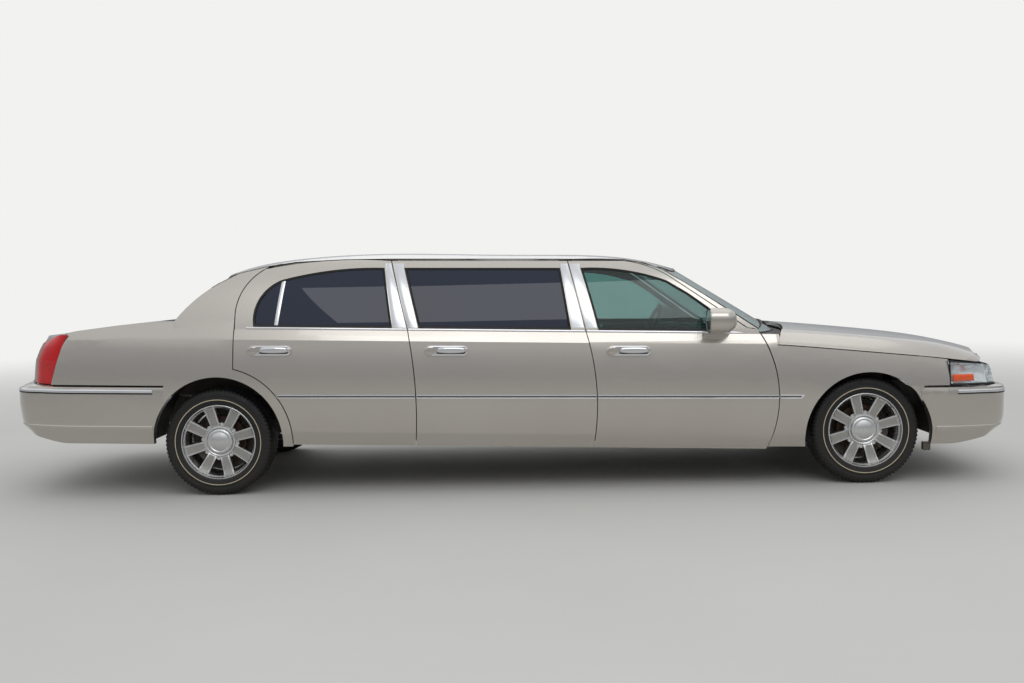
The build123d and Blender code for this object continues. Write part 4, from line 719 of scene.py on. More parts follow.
@dataclass
class Piece:
    """A mesh gathered ring by ring and turned into one object.

    Args:
        name: Object name.
        finish: Main finish.
        body: Body of the frame that the piece rides on.
        extra: Further finishes, used through a ring's finish number.
        formed: Whether its points follow true_form.
    """

    name: str
    finish: Finish
    body: str
    extra: tuple[Finish, ...] = ()
    points: list[Vector] = field(default_factory=list)
    faces: list[tuple[int, ...]] = field(default_factory=list)
    numbers: list[int] = field(default_factory=list)
    formed: bool = True

    def loft(self, rings: Sequence[Sequence[Vector]], closed: bool = True, caps: bool = True, loop: bool = False,
             finish: int = 0) -> "Piece":
        """Join rings of points with faces.

        Args:
            rings: Rings with the same number of points each.
            closed: Whether each ring is a closed line.
            caps: Whether the first and last rings get a face.
            loop: Whether the last ring joins the first.
            finish: Number of the finish, 0 for the main one.

        Returns:
            The piece itself.
        """
        start, size = len(self.points), len(rings[0])
        for ring in rings:
            self.points.extend(ring)
        count = len(rings)
        for i in range(count if loop else count - 1):
            one, two = start + i * size, start + ((i + 1) % count) * size
            for j in range(size if closed else size - 1):
                k = (j + 1) % size
                self.face((one + j, one + k, two + k, two + j), finish)
        if caps and closed and not loop:
            self.face(tuple(range(start + size - 1, start - 1, -1)), finish)
            last = start + (count - 1) * size
            self.face(tuple(range(last, last + size)), finish)
        return self

    def face(self, corners: tuple[int, ...], finish: int) -> None:
        """Add a face with its finish number."""
        self.faces.append(corners)
        self.numbers.append(finish)

    def build(self, bevel_mm: float = 0, sharp_deg: float = 35) -> bpy.types.Object:
        """Make the object and let it ride on its body.

        Args:
            bevel_mm: Width of a bevel on sharp edges.
            sharp_deg: Edges that turn by more than this stay sharp.

        Returns:
            The object.
        """
        mesh = bpy.data.meshes.new(self.name)
        mesh.from_pydata([true_form(point) if self.formed else point for point in self.points], [], self.faces)
        for finish in (self.finish, *self.extra):
            mesh.materials.append(MATERIALS.get(finish))
        mesh.polygons.foreach_set("material_index", self.numbers)
        work = bmesh.new()
        work.from_mesh(mesh)
        bmesh.ops.remove_doubles(work, verts=work.verts, dist=1e-6)
        bmesh.ops.recalc_face_normals(work, faces=work.faces)
        for face in work.faces:
            face.smooth = True
        for edge in work.edges:
            if len(edge.link_faces) == 2 and edge.calc_face_angle(0) > radians(sharp_deg):
                edge.smooth = False
        work.to_mesh(mesh)
        work.free()
        thing = new_object(self.name, mesh)
        if bevel_mm:
            bevel = thing.modifiers.new("rounded_edges", "BEVEL")
            bevel.width = bevel_mm / 1000
            bevel.segments = 2
            bevel.limit_method = "ANGLE"
            bevel.angle_limit = radians(sharp_deg)
            bevel.harden_normals = True
        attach(thing, self.body)
        LOG.info("piece %s on %s", self.name, self.body)
        return thing


def ring_round(centre: Vector, across: Vector, up: Vector, radius: float, count: int = 12) -> list[Vector]:
    """Points of a circle about a centre, in the plane of two unit directions."""
    return [centre + (across * cos(a) + up * sin(a)) * radius for a in turns(count)]


def sideways(along: Vector) -> Vector:
    """Level unit direction across another one."""
    guide = Vector((0, 0, 1)) if abs(along.z) < 0.9 else Vector((1, 0, 0))
    return along.cross(guide).normalized()


def box_ring(x: Point, y: Point, z: float, shrink: float, sign: float = 1) -> list[Vector]:
    """Corners of a level rectangle of the body frame.

    Args:
        x: Rear and front edge.
        y: Inner and outer edge.
        z: Height.
        shrink: How far each edge moves in.
        sign: -1 puts it on the right side.

    Returns:
        The four corners.
    """
    (x0, x1), (y0, y1) = x, y
    corners = ((x0 + shrink, y0 + shrink), (x1 - shrink, y0 + shrink), (x1 - shrink, y1 - shrink),
               (x0 + shrink, y1 - shrink))
    return [lean(cx, sign * cy, z) for cx, cy in corners]


def tube(piece: Piece, path: Sequence[Vector], radius_mm: float, count: int = 10, loop: bool = False,
         flat: float = 1, finish: int = 0) -> Piece:
    """Add a round or flattened bar along a path.

    Args:
        piece: Piece that gets the bar.
        path: Points in metres.
        radius_mm: Radius.
        count: Corners of its section.
        loop: Whether the path is closed.
        flat: Height of the section as a share of its width.
        finish: Number of the finish.

    Returns:
        The piece.
    """
    rings = []
    total = len(path)
    for i, point in enumerate(path):
        before = path[i - 1] if i or loop else point
        after = path[(i + 1) % total] if i < total - 1 or loop else point
        along = (after - before).normalized()
        across = sideways(along)
        rings.append(ring_round(point, across, across.cross(along) * flat, radius_mm / 1000, count))
    return piece.loft(rings, loop=loop, finish=finish)


def lathe(piece: Piece, centre: Vector, axis: Vector, profile: Sequence[Point], count: int = 48,
          finish: int = 0) -> Piece:
    """Turn a profile of radius and depth, in millimetres, about an axis.

    Args:
        piece: Piece that gets the turned form.
        centre: Point on the axis at depth 0, in metres.
        axis: Unit direction of growing depth.
        profile: Radius and depth pairs.
        count: Number of steps round the axis.
        finish: Number of the finish.

    Returns:
        The piece.
    """
    across = sideways(axis)
    up = across.cross(axis)
    rings = [ring_round(centre + axis * (depth / 1000), across, up, max(radius, 0.05) / 1000, count)
             for radius, depth in profile]
    return piece.loft(rings, finish=finish)


def slot_outline(length: float, height: float, count: int = 8) -> list[Point]:
    """Outline of a bar with round ends.

    Args:
        length: Length.
        height: Height.
        count: Number of steps round each end.

    Returns:
        Its points.
    """
    r = height / 2
    ends = []
    for sign, start in ((1, -pi / 2), (-1, pi / 2)):
        ends += [(sign * (length / 2 - r) + r * cos(start + pi * t), r * sin(start + pi * t)) for t in shares(count)]
    return ends


def rounded_corners(half: Point, radius: float, count: int) -> list[Point]:
    """Outline of a rectangle with round corners.

    Args:
        half: Half of its width and of its height.
        radius: Radius of the corners.
        count: Number of steps round each corner.

    Returns:
        Its points.
    """
    made = []
    for across, up, start in ((1, 1, 0), (-1, 1, pi / 2), (-1, -1, pi), (1, -1, 1.5 * pi)):
        made += [(across * (half[0] - radius) + radius * cos(start + pi / 2 * t),
                  up * (half[1] - radius) + radius * sin(start + pi / 2 * t)) for t in shares(count)]
    return made


class Skin:
    """Surface of CAD nodes that trims are laid on."""

    def __init__(self, *names: str) -> None:
        """Gather the nodes' faces.

        Args:
            names: CAD nodes.
        """
        points: list[Vector] = []
        faces: list[tuple[int, ...]] = []
        for name in names:
            mesh = frame["nodes"][name].data
            start = len(points)
            points.extend(v.co.copy() for v in mesh.vertices)
            faces.extend(tuple(start + i for i in p.vertices) for p in mesh.polygons)
        self.tree = BVHTree.FromPolygons(points, faces)

    def cast(self, origin: Vector, direction: Vector) -> Hit | None:
        """Find the first surface point along a ray.

        Args:
            origin: Start of the ray.
            direction: Its unit direction.

        Returns:
            The point and its outward normal, if there is one.
        """
        place, normal = self.tree.ray_cast(origin, direction)[:2]
        if place is None:
            return None
        return place, (normal if normal.dot(direction) < 0 else -normal)

    def side(self, side: Side, x: float, z: float) -> Hit | None:
        """Find the outer surface at x and z of the body frame, seen from one side."""
        return self.cast(lean(x, side.value * 1500, z), Vector((0, -side.value, 0)))

    def end(self, centre_x: float, angle: float, z: float) -> Hit | None:
        """Find the outer surface round a point of the centre line.

        Args:
            centre_x: x of the point of the centre line.
            angle: Direction from it, 0 to the front and a quarter turn to the left.
            z: Height.

        Returns:
            The point and its outward normal, if there is one.
        """
        out = Vector((cos(angle), sin(angle), 0))
        start = lean(centre_x + out.x * 2500, out.y * 2500, z)
        return self.cast(start, (lean(centre_x, 0, z) - start).normalized())

    def reach(self, side: Side, x0: float, x1: float, z: float, step: float = 2) -> Point:
        """Move both ends of a range along the car in until the surface is there.

        Args:
            side: Side of the car.
            x0: Rear end.
            x1: Front end.
            z: Height.
            step: How far each move goes.

        Returns:
            The new ends.
        """
        while x0 < x1 and self.side(side, x0, z) is None:
            x0 += step
        while x1 > x0 and self.side(side, x1, z) is None:
            x1 -= step
        return x0 + step, x1 - step


Profile = Sequence[Point]


def lay(piece: Piece, hits: Sequence[Sequence[Hit | None]], heights: Sequence[float],
        loop: bool = False, finish: int = 0) -> Piece:
    """Lay a strip on surface points, each profile point at its own height.

    Args:
        piece: Piece that gets the strip.
        hits: For each station, the surface point and normal under each profile point.
        heights: Height of each profile point above the surface, in millimetres.
        loop: Whether the last station joins the first.
        finish: Number of the finish.

    Returns:
        The piece.
    """
    rings = []
    for station in hits:
        found = [hit for hit in station if hit is not None]
        if len(found) < len(station):
            if not rings or not found:
                continue
            station = [hit or found[0] for hit in station]
        top = [place + normal * (h / 1000) for (place, normal), h in zip(station, heights)]
        low = [place - normal * 0.0015 for place, normal in station]
        rings.append(top + list(reversed(low)))
    if len(rings) > 1:
        piece.loft(rings, loop=loop, finish=finish)
    return piece


def lay_side(piece: Piece, skin: Skin, side: Side, stations: Iterable[tuple[float, float, float, float]],
             profile: Profile, finish: int = 0) -> Piece:
    """Lay a strip on the side of the body.

    Args:
        piece: Piece that gets the strip.
        skin: Surface under it.
        side: Side of the car.
        stations: x, z and the width across the strip in x and in z, at each station.
        profile: Share of the width from the middle, and height, of each profile point.
        finish: Number of the finish.

    Returns:
        The piece.
    """
    hits = [[skin.side(side, x + wx * share, z + wz * share) for share, height in profile] for x, z, wx, wz in stations]
    return lay(piece, hits, [height for share, height in profile], finish=finish)


def steps(first: float, last: float, size: float) -> list[float]:
    """Even steps between two numbers, about as long as size."""
    count = max(1, round(abs(last - first) / size))
    return [first + (last - first) * i / count for i in range(count + 1)]


ROUND_BAR: Profile = ((-0.5, 0.5), (-0.42, 2.6), (-0.22, 4.2), (0, 4.8), (0.22, 4.2), (0.42, 2.6), (0.5, 0.5))
MOULDING: Profile = ((-0.5, 0.5), (-0.47, 3.2), (-0.36, 4.2), (-0.26, 3), (-0.24, 1.6), (0.16, 1.6), (0.18, 3),
                     (0.30, 4.4), (0.45, 3.4), (0.5, 0.5))
INSERT: Profile = ((-0.24, 1), (-0.18, 2.4), (0.10, 2.4), (0.15, 1))
SHEET: Profile = ((-0.5, 0.6), (-0.48, 1.3), (0, 1.4), (0.48, 1.3), (0.5, 0.6))


@dataclass(frozen=True)
class DoorSpec:
    """Where one row's doors lie.

    Args:
        row: Row name.
        span: Rear and front x of the door at the moulding.
        outline: Window outline in x and z.
        handle_x: Middle of the handle.
        card: Rear and front x of the inner card.
    """

    row: str
    span: Point
    outline: tuple[Point, ...]
    handle_x: float
    card: Point


def sill(x: float) -> Point:
    """Point of the window sill at x."""
    return (x, belt_z(x) + SILL_RISE)


REAR_OUTLINE = (*arc_through(sill(-1654), (-1612, 1218), (-1487, 1317), 8),
                *arc_through((-1487, 1317), (-1180, 1378), (-829, WINDOW_TOP_Z), 8)[1:], sill(-765))
MIDDLE_OUTLINE = (sill(-597), sill(382), (317, WINDOW_TOP_Z), (-701, WINDOW_TOP_Z))
FRONT_OUTLINE = (*arc_through((448, WINDOW_TOP_Z), (800, 1372), (1004, 1316), 8), (1140, 1234),
                 (SAIL_X, 1086), sill(SAIL_X), sill(556))
DOOR_SPECS = (
    DoorSpec("front", (540, 1700), FRONT_OUTLINE, 747, (604, 1560)),
    DoorSpec("middle", (-620, 552), MIDDLE_OUTLINE, -415, (-552, 418)),
    DoorSpec("rear", (-1700, -605), REAR_OUTLINE, -1541, (-1392, -722)),
)


def seam_x(name: str, z: float) -> float:
    """Where a seam between two doors lies at a height above the belt."""
    top, belt = SEAMS[name]
    return top + (belt - top) * (SEAM_TOP_Z - z) / (SEAM_TOP_Z - belt_z(belt))


def smooth(outline: Sequence[Point], size: float) -> list[Point]:
    """Divide the edges of a closed outline into even steps.

    Args:
        outline: Corners in order.
        size: About the length of a step.

    Returns:
        The points.
    """
    made: list[Point] = []
    for (x0, z0), (x1, z1) in zip(outline, [*outline[1:], outline[0]]):
        count = max(1, round(hypot(x1 - x0, z1 - z0) / size))
        made += [(x0 + (x1 - x0) * i / count, z0 + (z1 - z0) * i / count) for i in range(count)]
    return made


@dataclass
class DoorTrim:
    """Trims, handle and inner card of one door.

    Args:
        spec: Where the door lies.
        side: Side of the car.
        card_y: Distance of the card's back from the car's middle.
    """

    spec: DoorSpec
    side: Side
    handle_z: float = 866.0
    plate_size: Point = (279, 64)
    recess_shade_size: Point = (196, 40)
    grip_length: float = 208.0
    card_y: float = 878.5
    pull_z: float = 690.0

    def __post_init__(self) -> None:
        """Work out the door's body, surface and name."""
        self.body = f"door_{self.spec.row}_{self.side.word}"
        self.skin = Skin(self.body)
        self.tag = f"{self.spec.row}_{self.side.word}"

    def build(self) -> None:
        """Make every piece of the door."""
        self._belt()
        self._moulding()
        self._window_seal()
        self._pillar_panels()
        self._handle()
        self._card()
        if self.spec.row == "front":
            self._mirror()
        if self.spec.row == "rear":
            self._divider()

    def _place(self, x: float, inset_mm: float, z: float) -> Vector:
        """Point beside the glass, moved in by inset_mm."""
        return lean(x, self.side.value * (glass_y(z) - inset_mm), z)

    def _slab(self, centre: Point, size: Point, rows: Sequence[Place]) -> list[list[Vector]]:
        """Rings of a bar with round ends that stands out from the door.

        Args:
            centre: x and z of its middle.
            size: Its length and height.
            rows: Scale, distance from the car's middle and rise of each ring.

        Returns:
            The rings.
        """
        x, z = centre
        return [[lean(x + px * scale, self.side.value * y, z + pz * scale + rise) for px, pz in slot_outline(*size)]
                for scale, y, rise in rows]

    def _belt(self) -> None:
        """Bright strip along the foot of the window."""
        x0, x1 = self.skin.reach(self.side, self.spec.span[0] - 150, self.spec.span[1] - 60, 991)
        if self.spec.row == "front":
            x1 = 1485
        if self.spec.row == "rear":
            x0 = max(x0, self.spec.span[0])
        bright = Piece(f"belt_chrome_{self.tag}", CHROME, self.body)
        stations = [(x, belt_z(x) + 8, 0, 15 - max(0, x - 1440) * 0.26) for x in steps(x0 + 1, x1 - 1, 28)]
        lay_side(bright, self.skin, self.side, stations, ROUND_BAR).build()

    def _moulding(self) -> None:
        """Bright side moulding with its dark insert."""
        x0, x1 = self.skin.reach(self.side, self.spec.span[0] - 80, self.spec.span[1] + 60, 575)
        if self.spec.row == "rear":
            x0 += 8
        stations = [(x, MOULDING_Z, 0, MOULDING_HEIGHT) for x in steps(x0, x1, 40)]
        strip = Piece(f"moulding_{self.tag}", CHROME, self.body, (TRIM_BLACK,))
        lay_side(strip, self.skin, self.side, stations, MOULDING)
        lay_side(strip, self.skin, self.side, stations, INSERT, finish=1).build(sharp_deg=50)

    def _window_seal(self) -> None:
        """Rubber seal round the window."""
        outline = smooth(self.spec.outline, 26)
        lines = [(outline, 3), (inset(outline, 7), 4), (inset(outline, 15), 11),
                 (inset(outline, 15), 13.6), (outline, 13.6)]
        rings = [[self._place(line[i][0], depth, line[i][1]) for line, depth in lines] for i in range(len(outline))]
        Piece(f"window_seal_{self.tag}", RUBBER, self.body).loft(rings, loop=True).build(sharp_deg=60)

    def _pillar_panels(self) -> None:
        """Brushed panels on the pillars between the doors."""
        panels = Piece(f"pillar_panels_{self.tag}", BRUSHED, self.body)
        for seam_name, ahead in (("rear", self.spec.row == "rear"), ("front", self.spec.row == "middle")):
            behind = self.spec.row == ("middle" if seam_name == "rear" else "front")
            if not ahead and not behind:
                continue
            stations = []
            for z in steps(belt_z(0) + 26, 1424, 30):
                edge = seam_x(seam_name, z) + (-5.5 if ahead else 5.5)
                window = self._window_edge(z, ahead)
                stations.append(((edge + window) / 2, z, abs(window - edge), 0))
            lay_side(panels, self.skin, self.side, stations, SHEET)
        if panels.points:
            panels.build(sharp_deg=50)

    def _window_edge(self, z: float, front_edge: bool) -> float:
        """Find the upright edge of the window at a height.

        Args:
            z: Height.
            front_edge: Front edge, or else the rear one.

        Returns:
            x of the edge, with its gap.
        """
        crossings = []
        outline = self.spec.outline
        height = min(z, WINDOW_TOP_Z - 3)
        for (x0, z0), (x1, z1) in zip(outline, [*outline[1:], outline[0]]):
            if (z0 - height) * (z1 - height) <= 0 and z0 != z1:
                crossings.append(x0 + (x1 - x0) * (height - z0) / (z1 - z0))
        return max(crossings) + 4 if front_edge else min(crossings) - 4

    def _handle(self) -> None:
        """Bright plate and grip with a painted pad, and a black slab that paints the shade in the recess behind the
        grip.
        """
        x, z = self.spec.handle_x, self.handle_z
        sign = self.side.value
        plate = Piece(f"handle_plate_{self.tag}", CHROME, self.body)
        plate.loft(self._slab((x, z), self.plate_size, (
            (1, 976, 0), (1, 988.5, 0), (0.985, 992, 0), (0.93, 993.4, 0), (0.60, 992.2, 0))))
        plate.build(sharp_deg=50)
        pad = Piece(f"handle_pad_{self.tag}", PAINT, self.body)
        lathe(pad, lean(x - 106, sign * 992, z), Vector((0, sign, 0)),
              ((30, 0), (30, 5), (28, 9.5), (22, 12), (10, 13.5), (0, 13.8)), 32).build()
        grip = Piece(f"handle_grip_{self.tag}", CHROME, self.body)
        rings = []
        for t in shares(24):
            bow = sin(pi * t) ** 0.45
            half, y = 8 + 11 * bow, 990 + 21.5 * bow
            rings.append([lean(x - 74 + self.grip_length * t, sign * (y + 5.5 * sin(a)), z + 5 + half * cos(a))
                          for a in turns(12)])
        grip.loft(rings).build(sharp_deg=60)
        # Black slab under the grip: painted shade of the handle's recess, not a black part of the car.
        recess_shade = Piece(f"handle_scoop_{self.tag}", TRIM_BLACK, self.body)
        recess_shade.loft(self._slab((x + 32, z), self.recess_shade_size, ((1, 992.4, 0), (0.96, 994, 0), (0.7, 994.4, 0)))).build()

    def _card(self) -> None:
        """Inner card with its padded panel and pull."""
        x0, x1 = self.spec.card
        sign = self.side.value
        section = ((878, 436), (866, 444), (862, 520), (866, 610), (838, 636), (832, 652),
                   (836, 668), (862, 680), (866, 800), (864, 900), (870, 948), (878, 956))
        card = Piece(f"door_card_{self.tag}", DASH, self.body, (LEATHER,))
        rings = []
        for x in [x0, x0 + 4, *steps(x0 + 30, x1 - 30, 60), x1 - 4, x1]:
            edge = min(x - x0, x1 - x)
            share = 0 if edge < 2 else 0.72 if edge < 20 else 1
            rings.append([lean(x, sign * (self.card_y - (self.card_y - y) * share), z) for y, z in section])
        card.loft(rings)
        pad_rings = []
        for t in shares(16):
            swell = sin(pi * t) ** 0.35
            x = x0 + 50 + (x1 - x0 - 100) * t
            pad_rings.append([lean(x, sign * (864 - 10 * swell * max(0, sin(pi * v)) ** 0.5), 712 + 150 * v)
                              for v in shares(8)] +
                             [lean(x, sign * 868, 862), lean(x, sign * 868, 712)])
        card.loft(pad_rings, finish=1).build(sharp_deg=50)
        pull = Piece(f"door_pull_{self.tag}", CHROME, self.body)
        middle = (x0 + x1) / 2 + 120
        path = [lean(middle + 58 * cos(pi * t), sign * (860 - 22 * sin(pi * t)), self.pull_z) for t in shares(12)]
        tube(pull, path, 6).build()

    def _divider(self) -> None:
        """Upright bar in the rear door's window."""
        bar = Piece(f"window_divider_{self.tag}", BRUSHED, self.body)
        rings = []
        for z in steps(1014, 1316, 30):
            x = -1512 + 34 * (z - 1014) / 302
            rings.append([self._place(x + dx, depth, z) for dx, depth in
                          ((-12, 13), (-12, 9.5), (-8, 8), (8, 8), (12, 9.5), (12, 13))])
        bar.loft(rings).build(sharp_deg=50)

    def _mirror(self) -> None:
        """Mirror with its egg-shaped housing, rim, glass and foot."""
        sign = self.side.value
        (cx, cy, cz), (half_x, half_y, half_z) = MIRROR_CENTRE, MIRROR_HALF
        rim = Piece(f"mirror_rim_{self.tag}", PAINT, self.body)
        glass = Piece(f"mirror_glass_{self.tag}", CHROME, self.body)

        def outline(shrink: float, depth: float) -> list[Vector]:
            """Outline of the housing's mouth, moved in by shrink and back by depth."""
            return [lean(MIRROR_FACE_X - depth, sign * (cy + dy), cz + dz)
                    for dy, dz in rounded_corners((half_y - shrink, half_z - shrink), 34, 6)]

        rim.loft([outline(6, -14), outline(5, 0), outline(9, 3.5), outline(15, 3), outline(17, 0.5)],
                 caps=False).build(sharp_deg=50)
        glass.loft([outline(16, -4), outline(16, 1)]).build()
        shell = Piece(f"mirror_shell_{self.tag}", PAINT, self.body, formed=False)
        stations = [(1242, 0.94), (1237.5, 0.955), (1236.2, 0.975), (1238.5, 0.993), (1244, 1), (1270, 1),
                    (1300, 1), (cx, 1)]
        stations += [(cx + half_x * q, (1 - q ** 2.2) ** (1 / 2.3)) for q in
                     (0.12, 0.24, 0.36, 0.48, 0.58, 0.68, 0.76, 0.83, 0.89, 0.935, 0.97, 0.99, 0.998)]
        section = []
        for a in turns(56):
            size = (abs(cos(a)) ** 2.6 + abs(sin(a)) ** 2.6) ** (1 / 2.6)
            section.append((half_y * cos(a) / size, half_z * sin(a) / size))
        rings = [[lean(x, sign * (cy + dy * scale), cz + dz * scale) for dy, dz in section] for x, scale in stations]
        shell.loft(rings, caps=False).loft([rings[-1], [point + Vector((0.0001, 0, 0)) for point in rings[-1]]])
        shell.build(sharp_deg=60)
        foot = Piece(f"mirror_foot_{self.tag}", RUBBER, self.body)
        foot.loft(self._slab((1378, 1032), (84, 50), (
            (1, 899, 0), (0.92, 912, 1), (0.7, 934, -6), (0.6, 975, -12)))).build(sharp_deg=60)


@dataclass
class SideTrim:
    """Fixed trims on one side: fender moulding, drip rail, brackets and corner fillers.

    Args:
        side: Side of the car.
        pad_mm: Thickness of the pad under the fender's moulding.
    """

    side: Side
    pad_mm: float = 6.5
    rail_radius: float = 3.6

    def build(self) -> None:
        """Make every piece."""
        skin = Skin("front_fenders")
        x0 = skin.reach(self.side, 1660, 1867, 575)[0]
        strip = Piece(f"moulding_fender_{self.side.word}", CHROME, "body", (TRIM_BLACK,))
        stations = [(x, MOULDING_Z, 0, MOULDING_HEIGHT) for x in steps(x0, 1846, 40)]
        tip = [(1850, 575.5, 0, 22), (1858, 578.5, 0, 15), (1866, 583, 0, 5)]
        high, low = ([(share, height + self.pad_mm) for share, height in profile] for profile in (MOULDING, INSERT))
        lay_side(strip, skin, self.side, stations + tip, high)
        lay_side(strip, skin, self.side, stations, low, finish=1).build(sharp_deg=50)
        self._drip_rail()
        self._arch_flange()
        self._cowl_corner()
        self._bracket()

    def _bracket(self) -> None:
        """Black bracket that holds the bumper's rear corner, and the hanger under the middle door."""
        parts = Piece(f"under_brackets_{self.side.word}", FRAME_BLACK, "body")
        for x, y, low, high in (((2668, 2716), (872, 906), 214, 268), ((-182, -70), (790, 840), 236, 272)):
            parts.loft([box_ring(x, y, z, shrink, self.side.value)
                        for z, shrink in ((low, 6), (low + 6, 0), (high, 0))])
        parts.build(bevel_mm=2)

    def _cowl_corner(self) -> None:
        """Painted gusset deep in the gap between the hood, the fender and the front door."""
        gusset = Piece(f"cowl_gusset_{self.side.word}", PAINT, "body")
        skin = Skin("front_fenders", "hood", f"door_front_{self.side.word}")
        rings = []
        for z in steps(905, 968, 9):
            hits = [hit for x in (1735, 1760, 1660) if (hit := skin.side(self.side, x, z)) is not None]
            if not hits:
                continue
            y = min(abs(hit[0].y) for hit in hits) * 1000 - 15
            rings.append([lean(x, self.side.value * (y + dy), z) for x, dy in
                          ((1684, 0), (1724, 0), (1724, -10), (1684, -10))])
        if len(rings) > 1:
            gusset.loft(rings).build()

    def _arch_flange(self) -> None:
        """Close the wheel arch where the bumper meets the fender."""
        flange = Piece(f"arch_flange_{self.side.word}", PAINT, "body")
        skin = Skin("front_fenders", "front_bumper")
        corner_x, corner_z = 2646, 652
        rings = []
        for x, z in ((2528, 652), (2560, 634), (2590, 606), (2612, 574), (2630, 540)):
            outer = [(x, z), ((x + corner_x) / 2, (z + corner_z) / 2), (corner_x, corner_z)]
            ring = []
            for px, pz in outer:
                hit = skin.side(self.side, px, pz) or skin.side(self.side, 2660, 600)
                y = abs(hit[0].y) * 1000 - 1
                ring.append(lean(px, self.side.value * y, pz))
            inner = [Vector((p.x, p.y - self.side.value * 0.014, p.z)) for p in reversed(ring)]
            rings.append(ring + inner)
        flange.loft(rings).build(sharp_deg=40)

    def _drip_rail(self) -> None:
        """Rubber rail along the edge of the roof."""
        sign = self.side.value
        line = [(1583, 1008), (1300, 1190), (1100, 1318), (985, 1386), (870, 1430), (741, 1452),
                (300, 1456), (-200, 1456), (-800, 1456), (-1100, 1451), (-1411, 1434),
                (-1600, 1404), (-1772, 1360), (-1900, 1292), (-1975, 1243)]
        path = []
        for (x0, z0), (x1, z1) in zip(line, line[1:]):
            for x in steps(x0, x1, 45)[:-1]:
                z = z0 + (z1 - z0) * (x - x0) / (x1 - x0)
                path.append(lean(x, sign * (glass_y(z) + 0.5), z - 3))
        rail = Piece(f"drip_rail_{self.side.word}", RUBBER, "body")
        tube(rail, path, self.rail_radius, 8).build()


